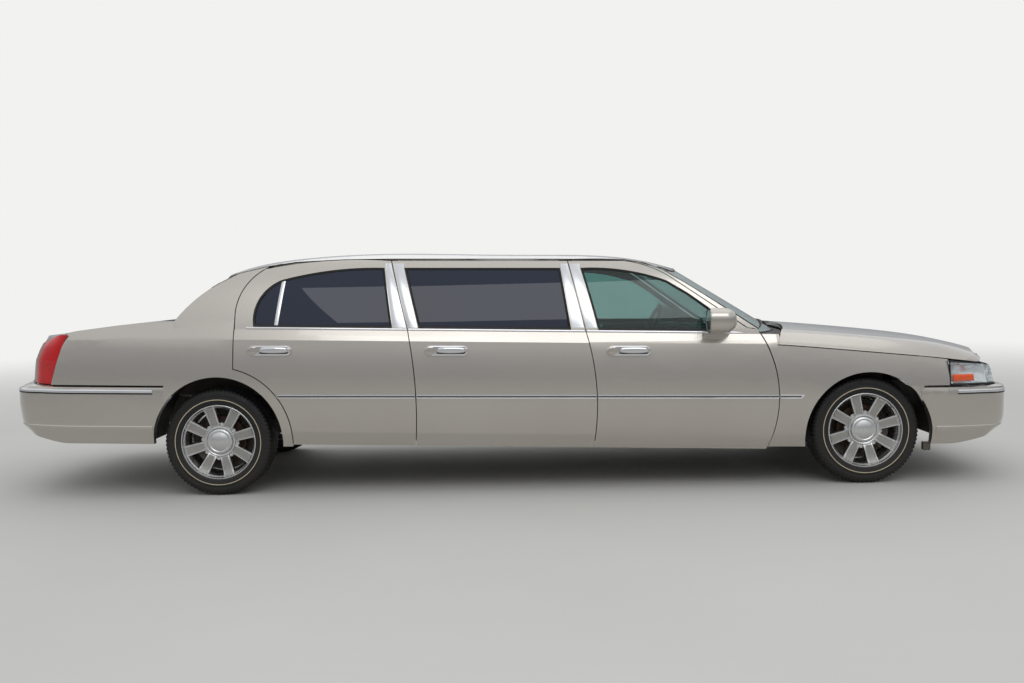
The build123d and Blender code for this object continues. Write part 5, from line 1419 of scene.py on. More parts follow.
@dataclass
class Wheel:
    """Tyre and rim dressing of one wheel.

    Args:
        end: "front" or "rear".
        side: Side of the car.
    """

    end: str
    side: Side
    spokes: int = 8
    first_spoke_deg: float = 15.5
    nuts: int = 5
    bolt_radius: float = 57.15

    def __post_init__(self) -> None:
        """Work out the hub's place, the axle, the body and the name."""
        x, y = (FRONT_AXLE_X, 805) if self.end == "front" else (REAR_AXLE_X, 820)
        self.centre = ground(x, self.side.value * y, HUB_Z)
        self.axis = Vector((0, self.side.value, 0))
        self.body = f"wheel_{self.end}_{self.side.word}"
        self.tag = f"{self.end}_{self.side.word}"

    def _at(self, radius: float, angle_deg: float, depth: float, across: float = 0) -> Vector:
        """Point on the wheel.

        Args:
            radius: Distance from the axle.
            angle_deg: Angle that grows from the front upwards, seen from outside.
            depth: Distance out from the wheel's middle.
            across: Distance round the wheel from the angle.

        Returns:
            The point in metres.
        """
        a = radians(angle_deg) if self.side is Side.RIGHT else radians(-angle_deg)
        out = Vector((cos(a), 0, sin(a)))
        along = Vector((-sin(a), 0, cos(a)))
        return self.centre + (out * radius + along * across + self.axis * depth) / 1000

    def _turned(self, profile: Sequence[Point], count: int) -> list[list[Vector]]:
        """Copies of a profile of radius and depth, at even steps round the axle."""
        return [[self._at(radius, 360 * i / count, depth) for radius, depth in profile] for i in range(count)]

    def build(self) -> None:
        """Make every piece of the wheel."""
        self._tyre()
        self._spoke_panels()
        self._lip()
        self._cap()
        self._brake_face()
        self._dust_shield()

    def _dust_shield(self) -> None:
        """Dished steel shield behind the brake disc, held by the carrier so that it doesn't spin."""
        body = "body" if self.end == "rear" else f"knuckle_{self.side.word}"
        shield = Piece(f"dust_shield_{self.tag}", FRAME_BLACK, body)
        profile = ((58, -44), (120, -46), (150, -41), (176, -34), (191, -30), (194, -24),
                   (195.5, -24), (193, -32), (177, -37), (150, -44), (120, -49), (58, -47))
        shield.loft(self._turned(profile, 72), loop=True).build(sharp_deg=40)

    def _tyre(self) -> None:
        """Tyre with grooves, shoulder blocks and the ivory line."""
        half = [(218, 74, 0), (226, 84, 0), (238, 101, 0), (246, 108, 0), (256, 110.6, 0),
                (272, 111.6, 0), (273, 112.3, 1), (278, 112.3, 1), (279, 111.6, 0), (285, 112.2, 0),
                (287, 111.2, 0), (300, 111.6, 0), (302, 112.4, 0), (316, 111, 0), (326, 108, 0),
                (336, 102, 0), (342.5, 94, 0), (345.2, 84, 0), (345.8, 64, 0), (345.9, 55, 0),
                (338.5, 53.5, 0), (338.5, 46.5, 0), (345.9, 45, 0), (346, 16, 0), (338.5, 14.5, 0),
                (338.5, 7.5, 0), (346, 6, 0)]
        profile = [(r, d, s) for r, d, s in half] + [(r, -d, s) for r, d, s in reversed(half)]
        tyre = Piece(f"tyre_{self.tag}", TYRE, self.body, (PINSTRIPE,))
        count = 240
        size = len(profile)
        for i in range(count):
            for r, d, _ in profile:
                radius, depth = r, d
                if i % 3 == 0 and r > 334 and abs(d) > 62:
                    radius = r - 6.5
                elif i % 3 == 0 and r > 325 and abs(d) > 62:
                    radius, depth = r - 3, d * 0.975
                elif i % 2 and 299 < r < 317:
                    depth = d * 0.990
                tyre.points.append(self._at(radius, 360 * i / count, depth))
        for i in range(count):
            one, two = i * size, ((i + 1) % count) * size
            for j in range(size):
                k = (j + 1) % size
                stripe = profile[j][2] and profile[k][2] and profile[j][1] > 0
                tyre.face((one + j, one + k, two + k, two + j), 1 if stripe else 0)
        made = tyre.build(sharp_deg=42)
        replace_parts(made, f"tyre_{self.tag}")

    @staticmethod
    def _spoke_face(radius: float) -> float:
        """Depth of a spoke's front at a radius."""
        return 64 + 16 * (radius - 86) / 140 + 0.35 * max(0, radius - 200)

    @staticmethod
    def _spoke_half(radius: float) -> float:
        """Half width of a spoke's sunk panel at a radius."""
        return 15.5 + 6.5 * (radius - 96) / 135

    def _spoke_panels(self) -> None:
        """Broad flat spokes with a sunk panel between raised edges, and the bosses between them."""
        spokes = Piece(f"spokes_{self.tag}", ALLOY, self.body, (WHEEL_SILVER,))
        pitch = 360 / self.spokes
        for number in range(self.spokes):
            angle = self.first_spoke_deg + pitch * number
            rows = []
            for r in (96, 100, 140, 190, 205, 226, 231):
                half = self._spoke_half(r) + 14.5
                end = -3 if r in (96, 231) else 0
                rows.append([self._at(r, angle, self._spoke_face(r) + h + end, w) for w, h in
                             ((-half, -34), (-half - 0.5, -2.5), (-half + 2, 1.4), (-half + 10, 2),
                              (-half + 12.5, -2.6), (half - 12.5, -2.6), (half - 10, 2), (half - 2, 1.4),
                              (half + 0.5, -2.5), (half, -34))])
            spokes.loft(rows)
            panel = []
            for r in (106, 160, 200, 219):
                half = self._spoke_half(r)
                panel.append([self._at(r, angle, self._spoke_face(r) + h, w) for w, h in
                              ((-half, -2.4), (-half + 1.5, -0.9), (half - 1.5, -0.9), (half, -2.4))])
            spokes.loft(panel, finish=1)
            boss = self._at(110, angle + pitch / 2, 46)
            lathe(spokes, boss, self.axis, ((17.5, -16), (17, 8), (13, 13.5), (9, 14), (8, 10), (0, 10)), 20)
        spokes.build(sharp_deg=40)

    def _lip(self) -> None:
        """Barrel with its polished lip, and the hub behind the cap."""
        barrel = Piece(f"rim_barrel_{self.tag}", ALLOY, self.body, (CAST,))
        profile = ((241, 99), (241.5, 103), (238.8, 105), (234.5, 104), (232, 99), (230, 90),
                   (225, 80), (214, 62), (205, 36), (202, 6), (202, -60), (213, -88),
                   (234, -97), (236, -103), (240, -104), (241.5, -98), (223, -86),
                   (217.4, -72), (217.4, 72), (223, 86))
        barrel.loft(self._turned(profile, 96), loop=True)
        lathe(barrel, self.centre, self.axis, ((60, -32), (96, -30), (97, 40), (99, 58), (96, 62), (60, 62)), 64)
        lathe(barrel, self.centre, self.axis, ((70, -96), (74, -90), (74, -34), (60, -32)), 40, finish=1)
        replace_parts(barrel.build(sharp_deg=50), f"rim_{self.tag}")
        valve = Piece(f"valve_{self.tag}", RUBBER, self.body)
        path = [self._at(r, 38, d) for r, d in ((205, 62), (202, 78), (199, 90))]
        tube(valve, path, 4, 10).build()

    def _cap(self) -> None:
        """Stepped centre cap and the wheel nuts."""
        cap = Piece(f"centre_cap_{self.tag}", ALLOY, self.body)
        lathe(cap, self.centre, self.axis, ((101, 60), (101, 66), (98.5, 70), (92, 71.5), (86, 69),
                                            (84.5, 66), (83, 71), (80, 76), (74, 79.5), (66, 80.2),
                                            (62, 78), (58, 79.4), (46, 84), (30, 87.6), (14, 89.4),
                                            (0, 90)), 72)
        cap.build(sharp_deg=28)
        nuts = Piece(f"lug_nuts_{self.tag}", CHROME, self.body)
        for number in range(self.nuts):
            centre = self._at(self.bolt_radius, 90 + 360 / self.nuts * number, 44)
            lathe(nuts, centre, self.axis, ((9, 0), (9.5, 12), (8, 15.5)), 6)
        nuts.build(sharp_deg=40)

    def _brake_face(self) -> None:
        """Turned face of the brake disc."""
        disc = Piece(f"brake_disc_{self.tag}", RUST, self.body)
        profile = [(156.5, -24), (156.5, -1.5)] + \
                  [(156 - 4.2 * i, 1.6 - (0.35 if i % 2 else 0)) for i in range(13)] + [(78, 2), (72, 5)]
        disc.loft(self._turned(profile, 64), closed=False, loop=True).build()


def screen_frame(front: bool) -> tuple[Vector, Vector, Vector, float]:
    """Plane of a screen in the body frame.

    Args:
        front: Windscreen, or else the rear window.

    Returns:
        Foot, unit slope, outward normal and bow radius, in millimetres.
    """
    foot, head, bow = ((1838, 992), (1085, 1440), 3000) if front else \
        ((-2330, 1045), (-1890, 1400), 3600)
    slope = Vector((head[0] - foot[0], 0, head[1] - foot[1])).normalized()
    out = Vector((-slope.z, 0, slope.x))
    if out.z < 0:
        out = -out
    return Vector((foot[0], 0, foot[1])), slope, out, bow


def screen_point(front: bool, up: float, y: float, lift: float = 0) -> Vector:
    """Point on a screen's outer face.

    Args:
        front: Windscreen, or else the rear window.
        up: Millimetres along the slope from the foot.
        y: Millimetres to the left.
        lift: Height above the glass.

    Returns:
        The point in body frame millimetres.
    """
    foot, slope, out, bow = screen_frame(front)
    sag = bow - sqrt(bow ** 2 - y ** 2)
    place = foot + slope * up + out * (lift - sag)
    return Vector((place.x, y, place.z))


def roof_z(x: float, y: float) -> float:
    """Height of the roof's outer face near the screens.

    Args:
        x: Millimetres to the front.
        y: Millimetres to the left.

    Returns:
        The height, or 0 beyond the roof.
    """
    table = ((1180, 852, 1272, 1396), (985, 792, 1390, 1447), (741, 752, 1450, 1484),
             (300, 752, 1452, 1501), (-500, 752, 1452, 1507), (-1100, 754, 1447, 1500),
             (-1500, 768, 1421, 1468), (-1772, 800, 1357, 1423), (-1920, 838, 1288, 1376))
    for (xa, wa, ea, ca), (xb, wb, eb, cb) in zip(table, table[1:]):
        if xb <= x <= xa:
            t = (xa - x) / (xa - xb)
            width, edge, crown = wa + (wb - wa) * t, ea + (eb - ea) * t, ca + (cb - ca) * t
            return crown - (crown - edge) * min(1, abs(y) / width) ** 2
    return 0


def close_in(low: float, high: float, holds: Callable[[float], bool]) -> Point:
    """Find by halving where a condition stops to hold.

    Args:
        low: A number at which it holds.
        high: A number at which it doesn't.
        holds: The condition.

    Returns:
        The last number at which it holds and the first at which it doesn't.
    """
    for _ in range(24):
        middle = (low + high) / 2
        low, high = (middle, high) if holds(middle) else (low, middle)
    return low, high


@dataclass
class ScreenTrim:
    """Seal, wipers and fittings of one screen.

    Args:
        front: Windscreen, or else the rear window.
    """

    front: bool

    def build(self) -> None:
        """Make every piece."""
        self._surround()
        if self.front:
            self._cowl_grille()
            self._wipers()
            self._rear_view_mirror()

    def _edge_y(self, up: float) -> float:
        """Half width of the screen at a distance up it.

        Args:
            up: Millimetres along the slope from the foot.

        Returns:
            The half width.
        """
        y = 800
        for _ in range(12):
            y = glass_y(screen_point(self.front, up, y).z) - 64
        return y

    def _top(self, y: float) -> float:
        """Find where the screen meets the roof.

        Args:
            y: Millimetres to the left.

        Returns:
            Millimetres along the slope from the foot.
        """
        def under_roof(up: float) -> bool:
            """Whether the glass is lower than the roof would be there."""
            place = screen_point(self.front, up, y)
            return place.z < roof_z(place.x, y)

        low, high = (600, 1000) if self.front else (350, 700)
        return close_in(low, high, under_roof)[0]

    def _surround(self) -> None:
        """Rubber seal round the screen."""
        bottom_z = 978 if self.front else 1058

        def foot(y: float) -> float:
            """Distance up the glass at which it comes out of the cowl or the deck."""
            return close_in(-200, 500, lambda up: screen_point(self.front, up, y).z < bottom_z)[1]

        low_y = self._edge_y(foot(780))
        top_y = self._edge_y(self._top(700))
        line = [screen_point(self.front, foot(y), y, 1) for y in steps(-low_y, low_y, 60)]
        ups = steps(foot(low_y), self._top(top_y), 60)[1:-1]
        left = [screen_point(self.front, up, self._edge_y(up), 1) for up in ups]
        top = [screen_point(self.front, self._top(y) - 4, y, 1) for y in steps(top_y, -top_y, 60)]
        right = [Vector((p.x, -p.y, p.z)) for p in reversed(left)]
        path = [lean(*p) - Vector((0, 0, 0.002)) for p in line + left + top + right]
        name = "windscreen" if self.front else "rear_window"
        seal = Piece(f"{name}_seal", RUBBER, "body")
        tube(seal, path, 5.5, 8, loop=True).build()

    def _cowl_grille(self) -> None:
        """Ribbed grille between the hood and the windscreen."""
        grille = Piece("cowl_grille", TRIM_BLACK, "body")
        rings = []
        hood_radius = 2507.7
        for number, y in enumerate(steps(-800, 800, 12)):
            glass = 0
            for up in steps(-120, 420, 4):
                p = screen_point(True, up, y)
                if p.z < 974:
                    glass = p.x
            ahead = 1888 - (hood_radius - sqrt(hood_radius ** 2 - y ** 2))
            behind = min((glass or 1860) + 4, ahead - 8)
            high = 975 if number % 2 else 972.4
            rings.append([lean(behind, y, 970.5), lean(behind, y, high), lean((ahead + behind) / 2, y, high + 1),
                          lean(ahead, y, high), lean(ahead, y, 970.5)])
        grille.loft(rings).build(sharp_deg=30)

    def _wipers(self) -> None:
        """Blades, arms and pivots of both wipers."""
        upright = Vector((0, 0, 1))
        for word, foot, pivot_y, tip_y, inner_y in (("right", 90, -150, -700, -130), ("left", 70, 560, 60, 600)):
            wiper = Piece(f"wiper_{word}", TRIM_BLACK, "body")

            def on_glass(share: float, lift: float) -> Vector:
                """Point along the blade's line, at a height over the glass."""
                y = inner_y + (tip_y - inner_y) * share
                return lean(*screen_point(True, foot + (abs(y) / 800) ** 2 * 105, y, lift))

            tube(wiper, [on_glass(t, 4) for t in shares(14)], 4, 8)
            tube(wiper, [on_glass(0.12 + 0.76 * t, 8 + 4 * sin(pi * t)) for t in shares(10)], 3.6, 8, flat=0.6)
            hub = lean(*screen_point(True, 18 + (abs(pivot_y) / 800) ** 2 * 150, pivot_y, 8))
            end = on_glass(0.5, 12)
            tube(wiper, [hub + (end - hub) * t + upright * (0.004 * sin(pi * t)) for t in shares(10)], 5.5, 8, flat=0.5)
            lathe(wiper, hub - upright * 0.02, upright, ((13, 0), (13, 17), (9, 22), (0, 23)), 20)
            wiper.build(sharp_deg=45)

    def _rear_view_mirror(self) -> None:
        """Inner mirror on its stalk."""
        mirror = Piece("rear_view_mirror", TRIM_BLACK, "body", (MIRROR_COAT,))
        outline = slot_outline(260, 68)
        z = 1352
        mirror.loft([[lean(x, py * k, z + pz * k) for py, pz in outline]
                     for k, x in ((0.55, 1046), (0.9, 1040), (1, 1028), (1, 1014))])
        mirror.loft([[lean(x, py * 0.94, z + pz * 0.9) for py, pz in outline] for x in (1014.5, 1012.6)], finish=1)
        tube(mirror, [lean(1046, 0, 1366), lean(1070, 0, 1395), lean(1092, 0, 1418)], 7)
        mirror.build(sharp_deg=45)


@dataclass
class BumperTrim:
    """Bright strip with a black band painted under it as its shadow, crease and blank plate of one bumper.

    Args:
        front: Front bumper, or else the rear one.
        plate_half: Half of the plate's width and height.
    """

    front: bool
    strip_z: float = 603.0
    strip_height: float = 22.0
    crease_z: float = 378.0
    plate_half: Point = (152, 76)
    plate_round: float = 12.0

    def _around(self, skin: Skin, reach: float, heights: Sequence[float]) -> list[list[Hit | None]]:
        """Surface points at some heights, at stations up to reach degrees from the bumper's middle."""
        centre, middle = (BUMPER_CENTRE_X, 0) if self.front else (-BUMPER_CENTRE_X, 180)
        return [[skin.end(centre, radians(middle + a), z) for z in heights] for a in steps(-reach, reach, 1.2)]

    def build(self) -> None:
        """Make the strip with its painted shadow, the crease and the plate."""
        word, strip_reach, crease_reach = ("front", 66, 75) if self.front else ("rear", 99, 99)
        skin = Skin(f"{word}_bumper")
        strip = Piece(f"bumper_strip_{word}", CHROME, "body", (TRIM_BLACK,))
        bright = ((-0.5, 0.4), (-0.42, 2), (-0.2, 3.1), (0.1, 3.6), (0.34, 2.9), (0.46, 1.7), (0.5, 0.4))
        # Black band under the bright strip: a painted shadow of the strip, drawn in black trim, not a part of the car.
        shadow = ((-0.86, 0.5), (-0.8, 2), (-0.5, 2.4))
        for profile, number in ((bright, 0), (shadow, 1)):
            hits = self._around(skin, strip_reach, [self.strip_z + self.strip_height * share for share, _ in profile])
            lay(strip, hits, [height for _, height in profile], finish=number)
        strip.build(sharp_deg=50)
        crease = Piece(f"bumper_crease_{word}", PAINT, "body")
        step = ((3, 0.3), (-1, 2.4), (-3.5, 3.3), (-8, 3.6), (-30, 2.2), (-62, 0.4))
        hits = self._around(skin, crease_reach, [self.crease_z + drop for drop, _ in step])
        lay(crease, hits, [height for _, height in step]).build(sharp_deg=40)
        self._plate()

    def _plate(self) -> None:
        """Blank plate in its bright frame, with two bolts."""
        if self.front:
            skin, z, angle, sign, body, name = Skin("front_bumper"), 470, 0, 1, "body", "front"
        else:
            skin, z, angle, sign, body, name = Skin("trunk_lid"), 790, pi, -1, "trunk_lid", "rear"
        centre = BUMPER_CENTRE_X * sign
        low, high = skin.end(centre, angle, z - 70), skin.end(centre, angle, z + 70)
        if low is None or high is None:
            LOG.warning("no surface for the %s plate", name)
            return
        up = (high[0] - low[0]).normalized()
        middle = (high[0] + low[0]) / 2
        out = Vector((up.z, 0, -up.x)) * (sign * (0.55 if self.front else 1))
        plate = Piece(f"plate_{name}", PLATE, body, (CHROME,))

        def corners(shrink: float, lift: float) -> list[Vector]:
            """Rounded outline of the plate.

            Args:
                shrink: How far it moves in.
                lift: How far it stands out.

            Returns:
                Its points.
            """
            half = (self.plate_half[0] - shrink, self.plate_half[1] - shrink)
            return [middle + (Vector((0, y, 0)) + up * w + out * lift) / 1000
                    for y, w in rounded_corners(half, self.plate_round, 4)]

        plate.loft([corners(6, -3), corners(6, 4), corners(7.5, 5)])
        plate.loft([corners(0, -3), corners(0, 5), corners(2, 7.5), corners(6, 7.5), corners(8, 4.6)],
                   caps=False, finish=1)
        for y in (-89, 89):
            bolt = middle + (Vector((0, y, 0)) + up * 58 + out * 4.5) / 1000
            lathe(plate, bolt, out, ((6, 0), (6, 2.5), (4, 3.6), (0, 3.8)), 14, finish=1)
        plate.build(sharp_deg=40)


@dataclass
class FrontFace:
    """Grille backing, lamp bowls, gaskets and reflectors."""

    bowl_low: float = 652.0
    amber_z: float = 690.0
    amber_height: float = 42.0

    def build(self) -> None:
        """Make every piece."""
        backing = Piece("grille_backing", TRIM_BLACK, "body")
        rings = [[lean(x, y, z) for y, z in ((-325, 669), (325, 669), (325, 779), (-325, 779))] for x in (3258.2, 3260)]
        backing.loft(rings)
        for z in steps(684, 764, 16):
            tube(backing, [lean(3262, y, z) for y in steps(-322, 322, 46)], 2, 6)
        backing.build()
        for side in Side:
            self._headlamp(side)
            self._tail_lamp(side)

    def _headlamp(self, side: Side) -> None:
        """Reflector bowls, side reflector and gasket of one head lamp.

        Args:
            side: Side of the car.
        """
        skin = Skin("headlamps")
        bowl = Piece(f"lamp_bowl_{side.word}", MIRROR_COAT, "body", (AMBER, TRIM_BLACK))
        angles = self._angles(skin, side, 700)
        rings = []
        for number, angle in enumerate(angles):
            share = number / (len(angles) - 1)
            top = 787 - 39.6 * max(0, 1 - share * 1.05)
            lobe = abs(sin(tau * share / 0.62)) if share < 0.62 else abs(sin(pi * (share - 0.62) / 0.38))
            ring = []
            for v in shares(12):
                z = self.bowl_low + (top - self.bowl_low) * v
                hit = skin.end(LAMP_CENTRE_X, angle, z)
                if hit is None:
                    hit = skin.end(LAMP_CENTRE_X, angle, 700)
                    hit = (Vector((hit[0].x, hit[0].y, lean(0, 0, z).z - hit[0].x * sin(STANCE))), hit[1])
                depth = 9 + 36 * lobe ** 0.7 * sin(pi * v) ** 0.7
                ring.append(hit[0] - hit[1] * depth / 1000)
            rings.append(ring)
        bowl.loft(rings, closed=False)
        for share in (0.155, 0.465):
            hit = skin.end(LAMP_CENTRE_X, angles[int(share * (len(angles) - 1))], 708)
            lathe(bowl, hit[0] - hit[1] * 0.044, hit[1], ((13, 0), (13, 16), (10, 24), (5, 29), (0, 30)), 20)
        bowl.build(sharp_deg=60)
        amber = Piece(f"amber_reflector_{side.word}", AMBER, "body")
        stations = [(x, self.amber_z, 0, self.amber_height) for x in steps(2843, 3001, 12)]
        lay_side(amber, skin, side, stations, ((-0.5, 0.4), (-0.46, 1.8), (0, 2.2), (0.46, 1.8), (0.5, 0.4)))
        amber.build(sharp_deg=50)
        self._gasket(skin, side)

    @staticmethod
    def _angles(skin: Skin, side: Side, z: float) -> list[float]:
        """Directions from the lamps' centre that meet the lens at a height."""
        quarters = [side.value * radians(a / 4) for a in range(20, 300)]
        return [angle for angle in quarters if skin.end(LAMP_CENTRE_X, angle, z) is not None][::2]

    def _gasket(self, skin: Skin, side: Side) -> None:
        """Rubber line round one head lamp.

        Args:
            skin: The lenses.
            side: Side of the car.
        """
        seal = Piece(f"lamp_gasket_{side.word}", RUBBER, "body")
        low: list[Vector] = []
        high: list[Vector] = []
        for a in range(20, 300, 3):
            angle = side.value * radians(a / 4)
            column = [hit for z in steps(640, 812, 4) if (hit := skin.end(LAMP_CENTRE_X, angle, z)) is not None]
            if len(column) >= 4:
                low.append(column[0][0])
                high.append(column[-1][0])
        if len(low) > 4:
            tube(seal, low + high[::-1], 4.2, 8, loop=True).build()
        else:
            LOG.warning("no gasket line on the %s head lamp", side.word)

    def _tail_lamp(self, side: Side) -> None:
        """Ribs of one tail lamp.

        Args:
            side: Side of the car.
        """
        skin = Skin("tail_lamps")
        bars = Piece(f"tail_lamp_ribs_{side.word}", RED_LENS, "body")
        for z in steps(668, 786, 13):
            hits = []
            for a in steps(97, 165, 1):
                row = [skin.end(-BUMPER_CENTRE_X, side.value * radians(a), z + dz) for dz in (-4, 0, 4)]
                if all(hit is not None for hit in row):
                    hits.append(row)
            if len(hits) > 2:
                lay(bars, hits, (0.3, 1.8, 0.3))
        if bars.points:
            bars.build(sharp_deg=60)


@dataclass
class Seat:
    """One row of crowned, channelled cushions.

    Args:
        name: Name of the row, and of the CAD node that it replaces.
        x: Hinge point of the back.
        places: Left and right edge of each place.
        reach: Length of the cushion.
        height: Height of the cushion over the floor.
    """

    name: str
    x: float
    places: tuple[Point, ...]
    reach: float
    height: float
    pipe_radius: float = 3.4
    flute_depth: float = 7.0

    def build(self) -> None:
        """Make the base, cushions, backs and head rests."""
        top = CABIN_FLOOR_Z + self.height
        x = self.x
        cushion = ((x - 34, top - 112), (x + self.reach - 8, top - 96), (x + self.reach - 4, top + 8),
                   (x + 62, top - 12), (x - 26, top - 10))
        back = ((x + 54, top - 6), (x - 30, top + 405), (x - 145, top + 408), (x - 98, top - 50))
        head = ((x - 48, top + 430), (x - 74, top + 552), (x - 150, top + 552), (x - 152, top + 430))
        pads = Piece(f"{self.name}_upholstery", LEATHER, "body")
        welts = Piece(f"{self.name}_piping", LEATHER, "body")
        for y0, y1 in self.places:
            width = y1 - y0
            flutes = [y0 + width * k for k in (0.16, 0.33, 0.5, 0.67, 0.84)]
            self._pad(pads, welts, cushion, y0 + 4, y1 - 4, 26, flutes, 14)
            self._pad(pads, welts, back, y0 + 8, y1 - 8, 24, flutes, 16)
            middle = (y0 + y1) / 2
            self._pad(pads, welts, head, middle - 135, middle + 135, 30, [], 12)
            for y in (middle - 60, middle + 60):
                tube(pads, [lean(x - 100, y, top + 385), lean(x - 108, y, top + 440)], 6)
        upholstery = pads.build(sharp_deg=75)
        welts.build(sharp_deg=75)
        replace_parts(upholstery, self.name)
        self._base(top)

    def _base(self, top: float) -> None:
        """Carpeted plinth under the row.

        Args:
            top: Height of the cushions' top.
        """
        base = Piece(f"{self.name}_base", CARPET, "body")
        x = (self.x - 20, self.x + self.reach - 60)
        y = (min(place[0] for place in self.places) + 40, max(place[1] for place in self.places) - 40)
        base.loft([box_ring(x, y, z, shrink) for z, shrink in
                   ((397, 0), (430, 0), (434, 6), (top - 118, 6))]).build(bevel_mm=8)

    @staticmethod
    def _section(corners: Sequence[Point]) -> list[Point]:
        """Round the corners of a pad's section.

        Args:
            corners: Corners in x and z.

        Returns:
            Its points.
        """
        line = list(corners)
        for _ in range(4):
            line = [(x0 + (x1 - x0) * t, z0 + (z1 - z0) * t)
                    for (x0, z0), (x1, z1) in zip(line, [*line[1:], line[0]]) for t in (0.18, 0.82)]
        return smooth(line, 13)

    def _pad(self, pads: Piece, welts: Piece, corners: Sequence[Point], y0: float, y1: float, side_mm: float,
             flutes: Sequence[float], crown_mm: float) -> None:
        """Add one closed crowned pad with sewn flutes and piping at its sides.

        Args:
            pads: Piece that gets the pad.
            welts: Piece that gets the piping.
            corners: Corners of its section in x and z.
            y0: Right edge.
            y1: Left edge.
            side_mm: Width over which its sides turn in.
            flutes: y of each flute.
            crown_mm: How much it rises to its middle.
        """
        section = self._section(corners)
        cx = sum(p[0] for p in section) / len(section)
        cz = sum(p[1] for p in section) / len(section)
        size = max(hypot(px - cx, pz - cz) for px, pz in section)
        turned_in = [side_mm * (1 - cos(pi / 2 * i / 5)) for i in range(6)]
        stations = sorted({*(y0 + depth for depth in turned_in), *(y1 - depth for depth in turned_in),
                           *steps(y0 + side_mm, y1 - side_mm, 11)})
        rings, seams = [], []
        for y in stations:
            edge = min(y - y0, y1 - y) / side_mm
            pull = side_mm * (1 - sqrt(max(0, 1 - (1 - min(1, edge)) ** 2)))
            dip = sum(self.flute_depth * exp(-((y - flute) / 6) ** 2) for flute in flutes)
            share = (y - y0) / (y1 - y0)
            crown = crown_mm * (sin(pi * share) ** 0.6 - 1) * 0.7
            ring = []
            for px, pz in section:
                reach = max(1, hypot(px - cx, pz - cz))
                moved = 1 - (pull * (0.5 + 0.5 * reach / size) + dip - crown) / max(reach, 46)
                ring.append(lean(cx + (px - cx) * moved, y, cz + (pz - cz) * moved))
            rings.append(ring)
            if abs(edge - 0.35) < 0.12 and len(seams) < 1 or abs(y - (y1 - 0.35 * side_mm)) < 3 and len(seams) < 2:
                seams.append(ring)
        pads.loft(rings)
        for ring in seams:
            tube(welts, ring, self.pipe_radius, 6, loop=True)


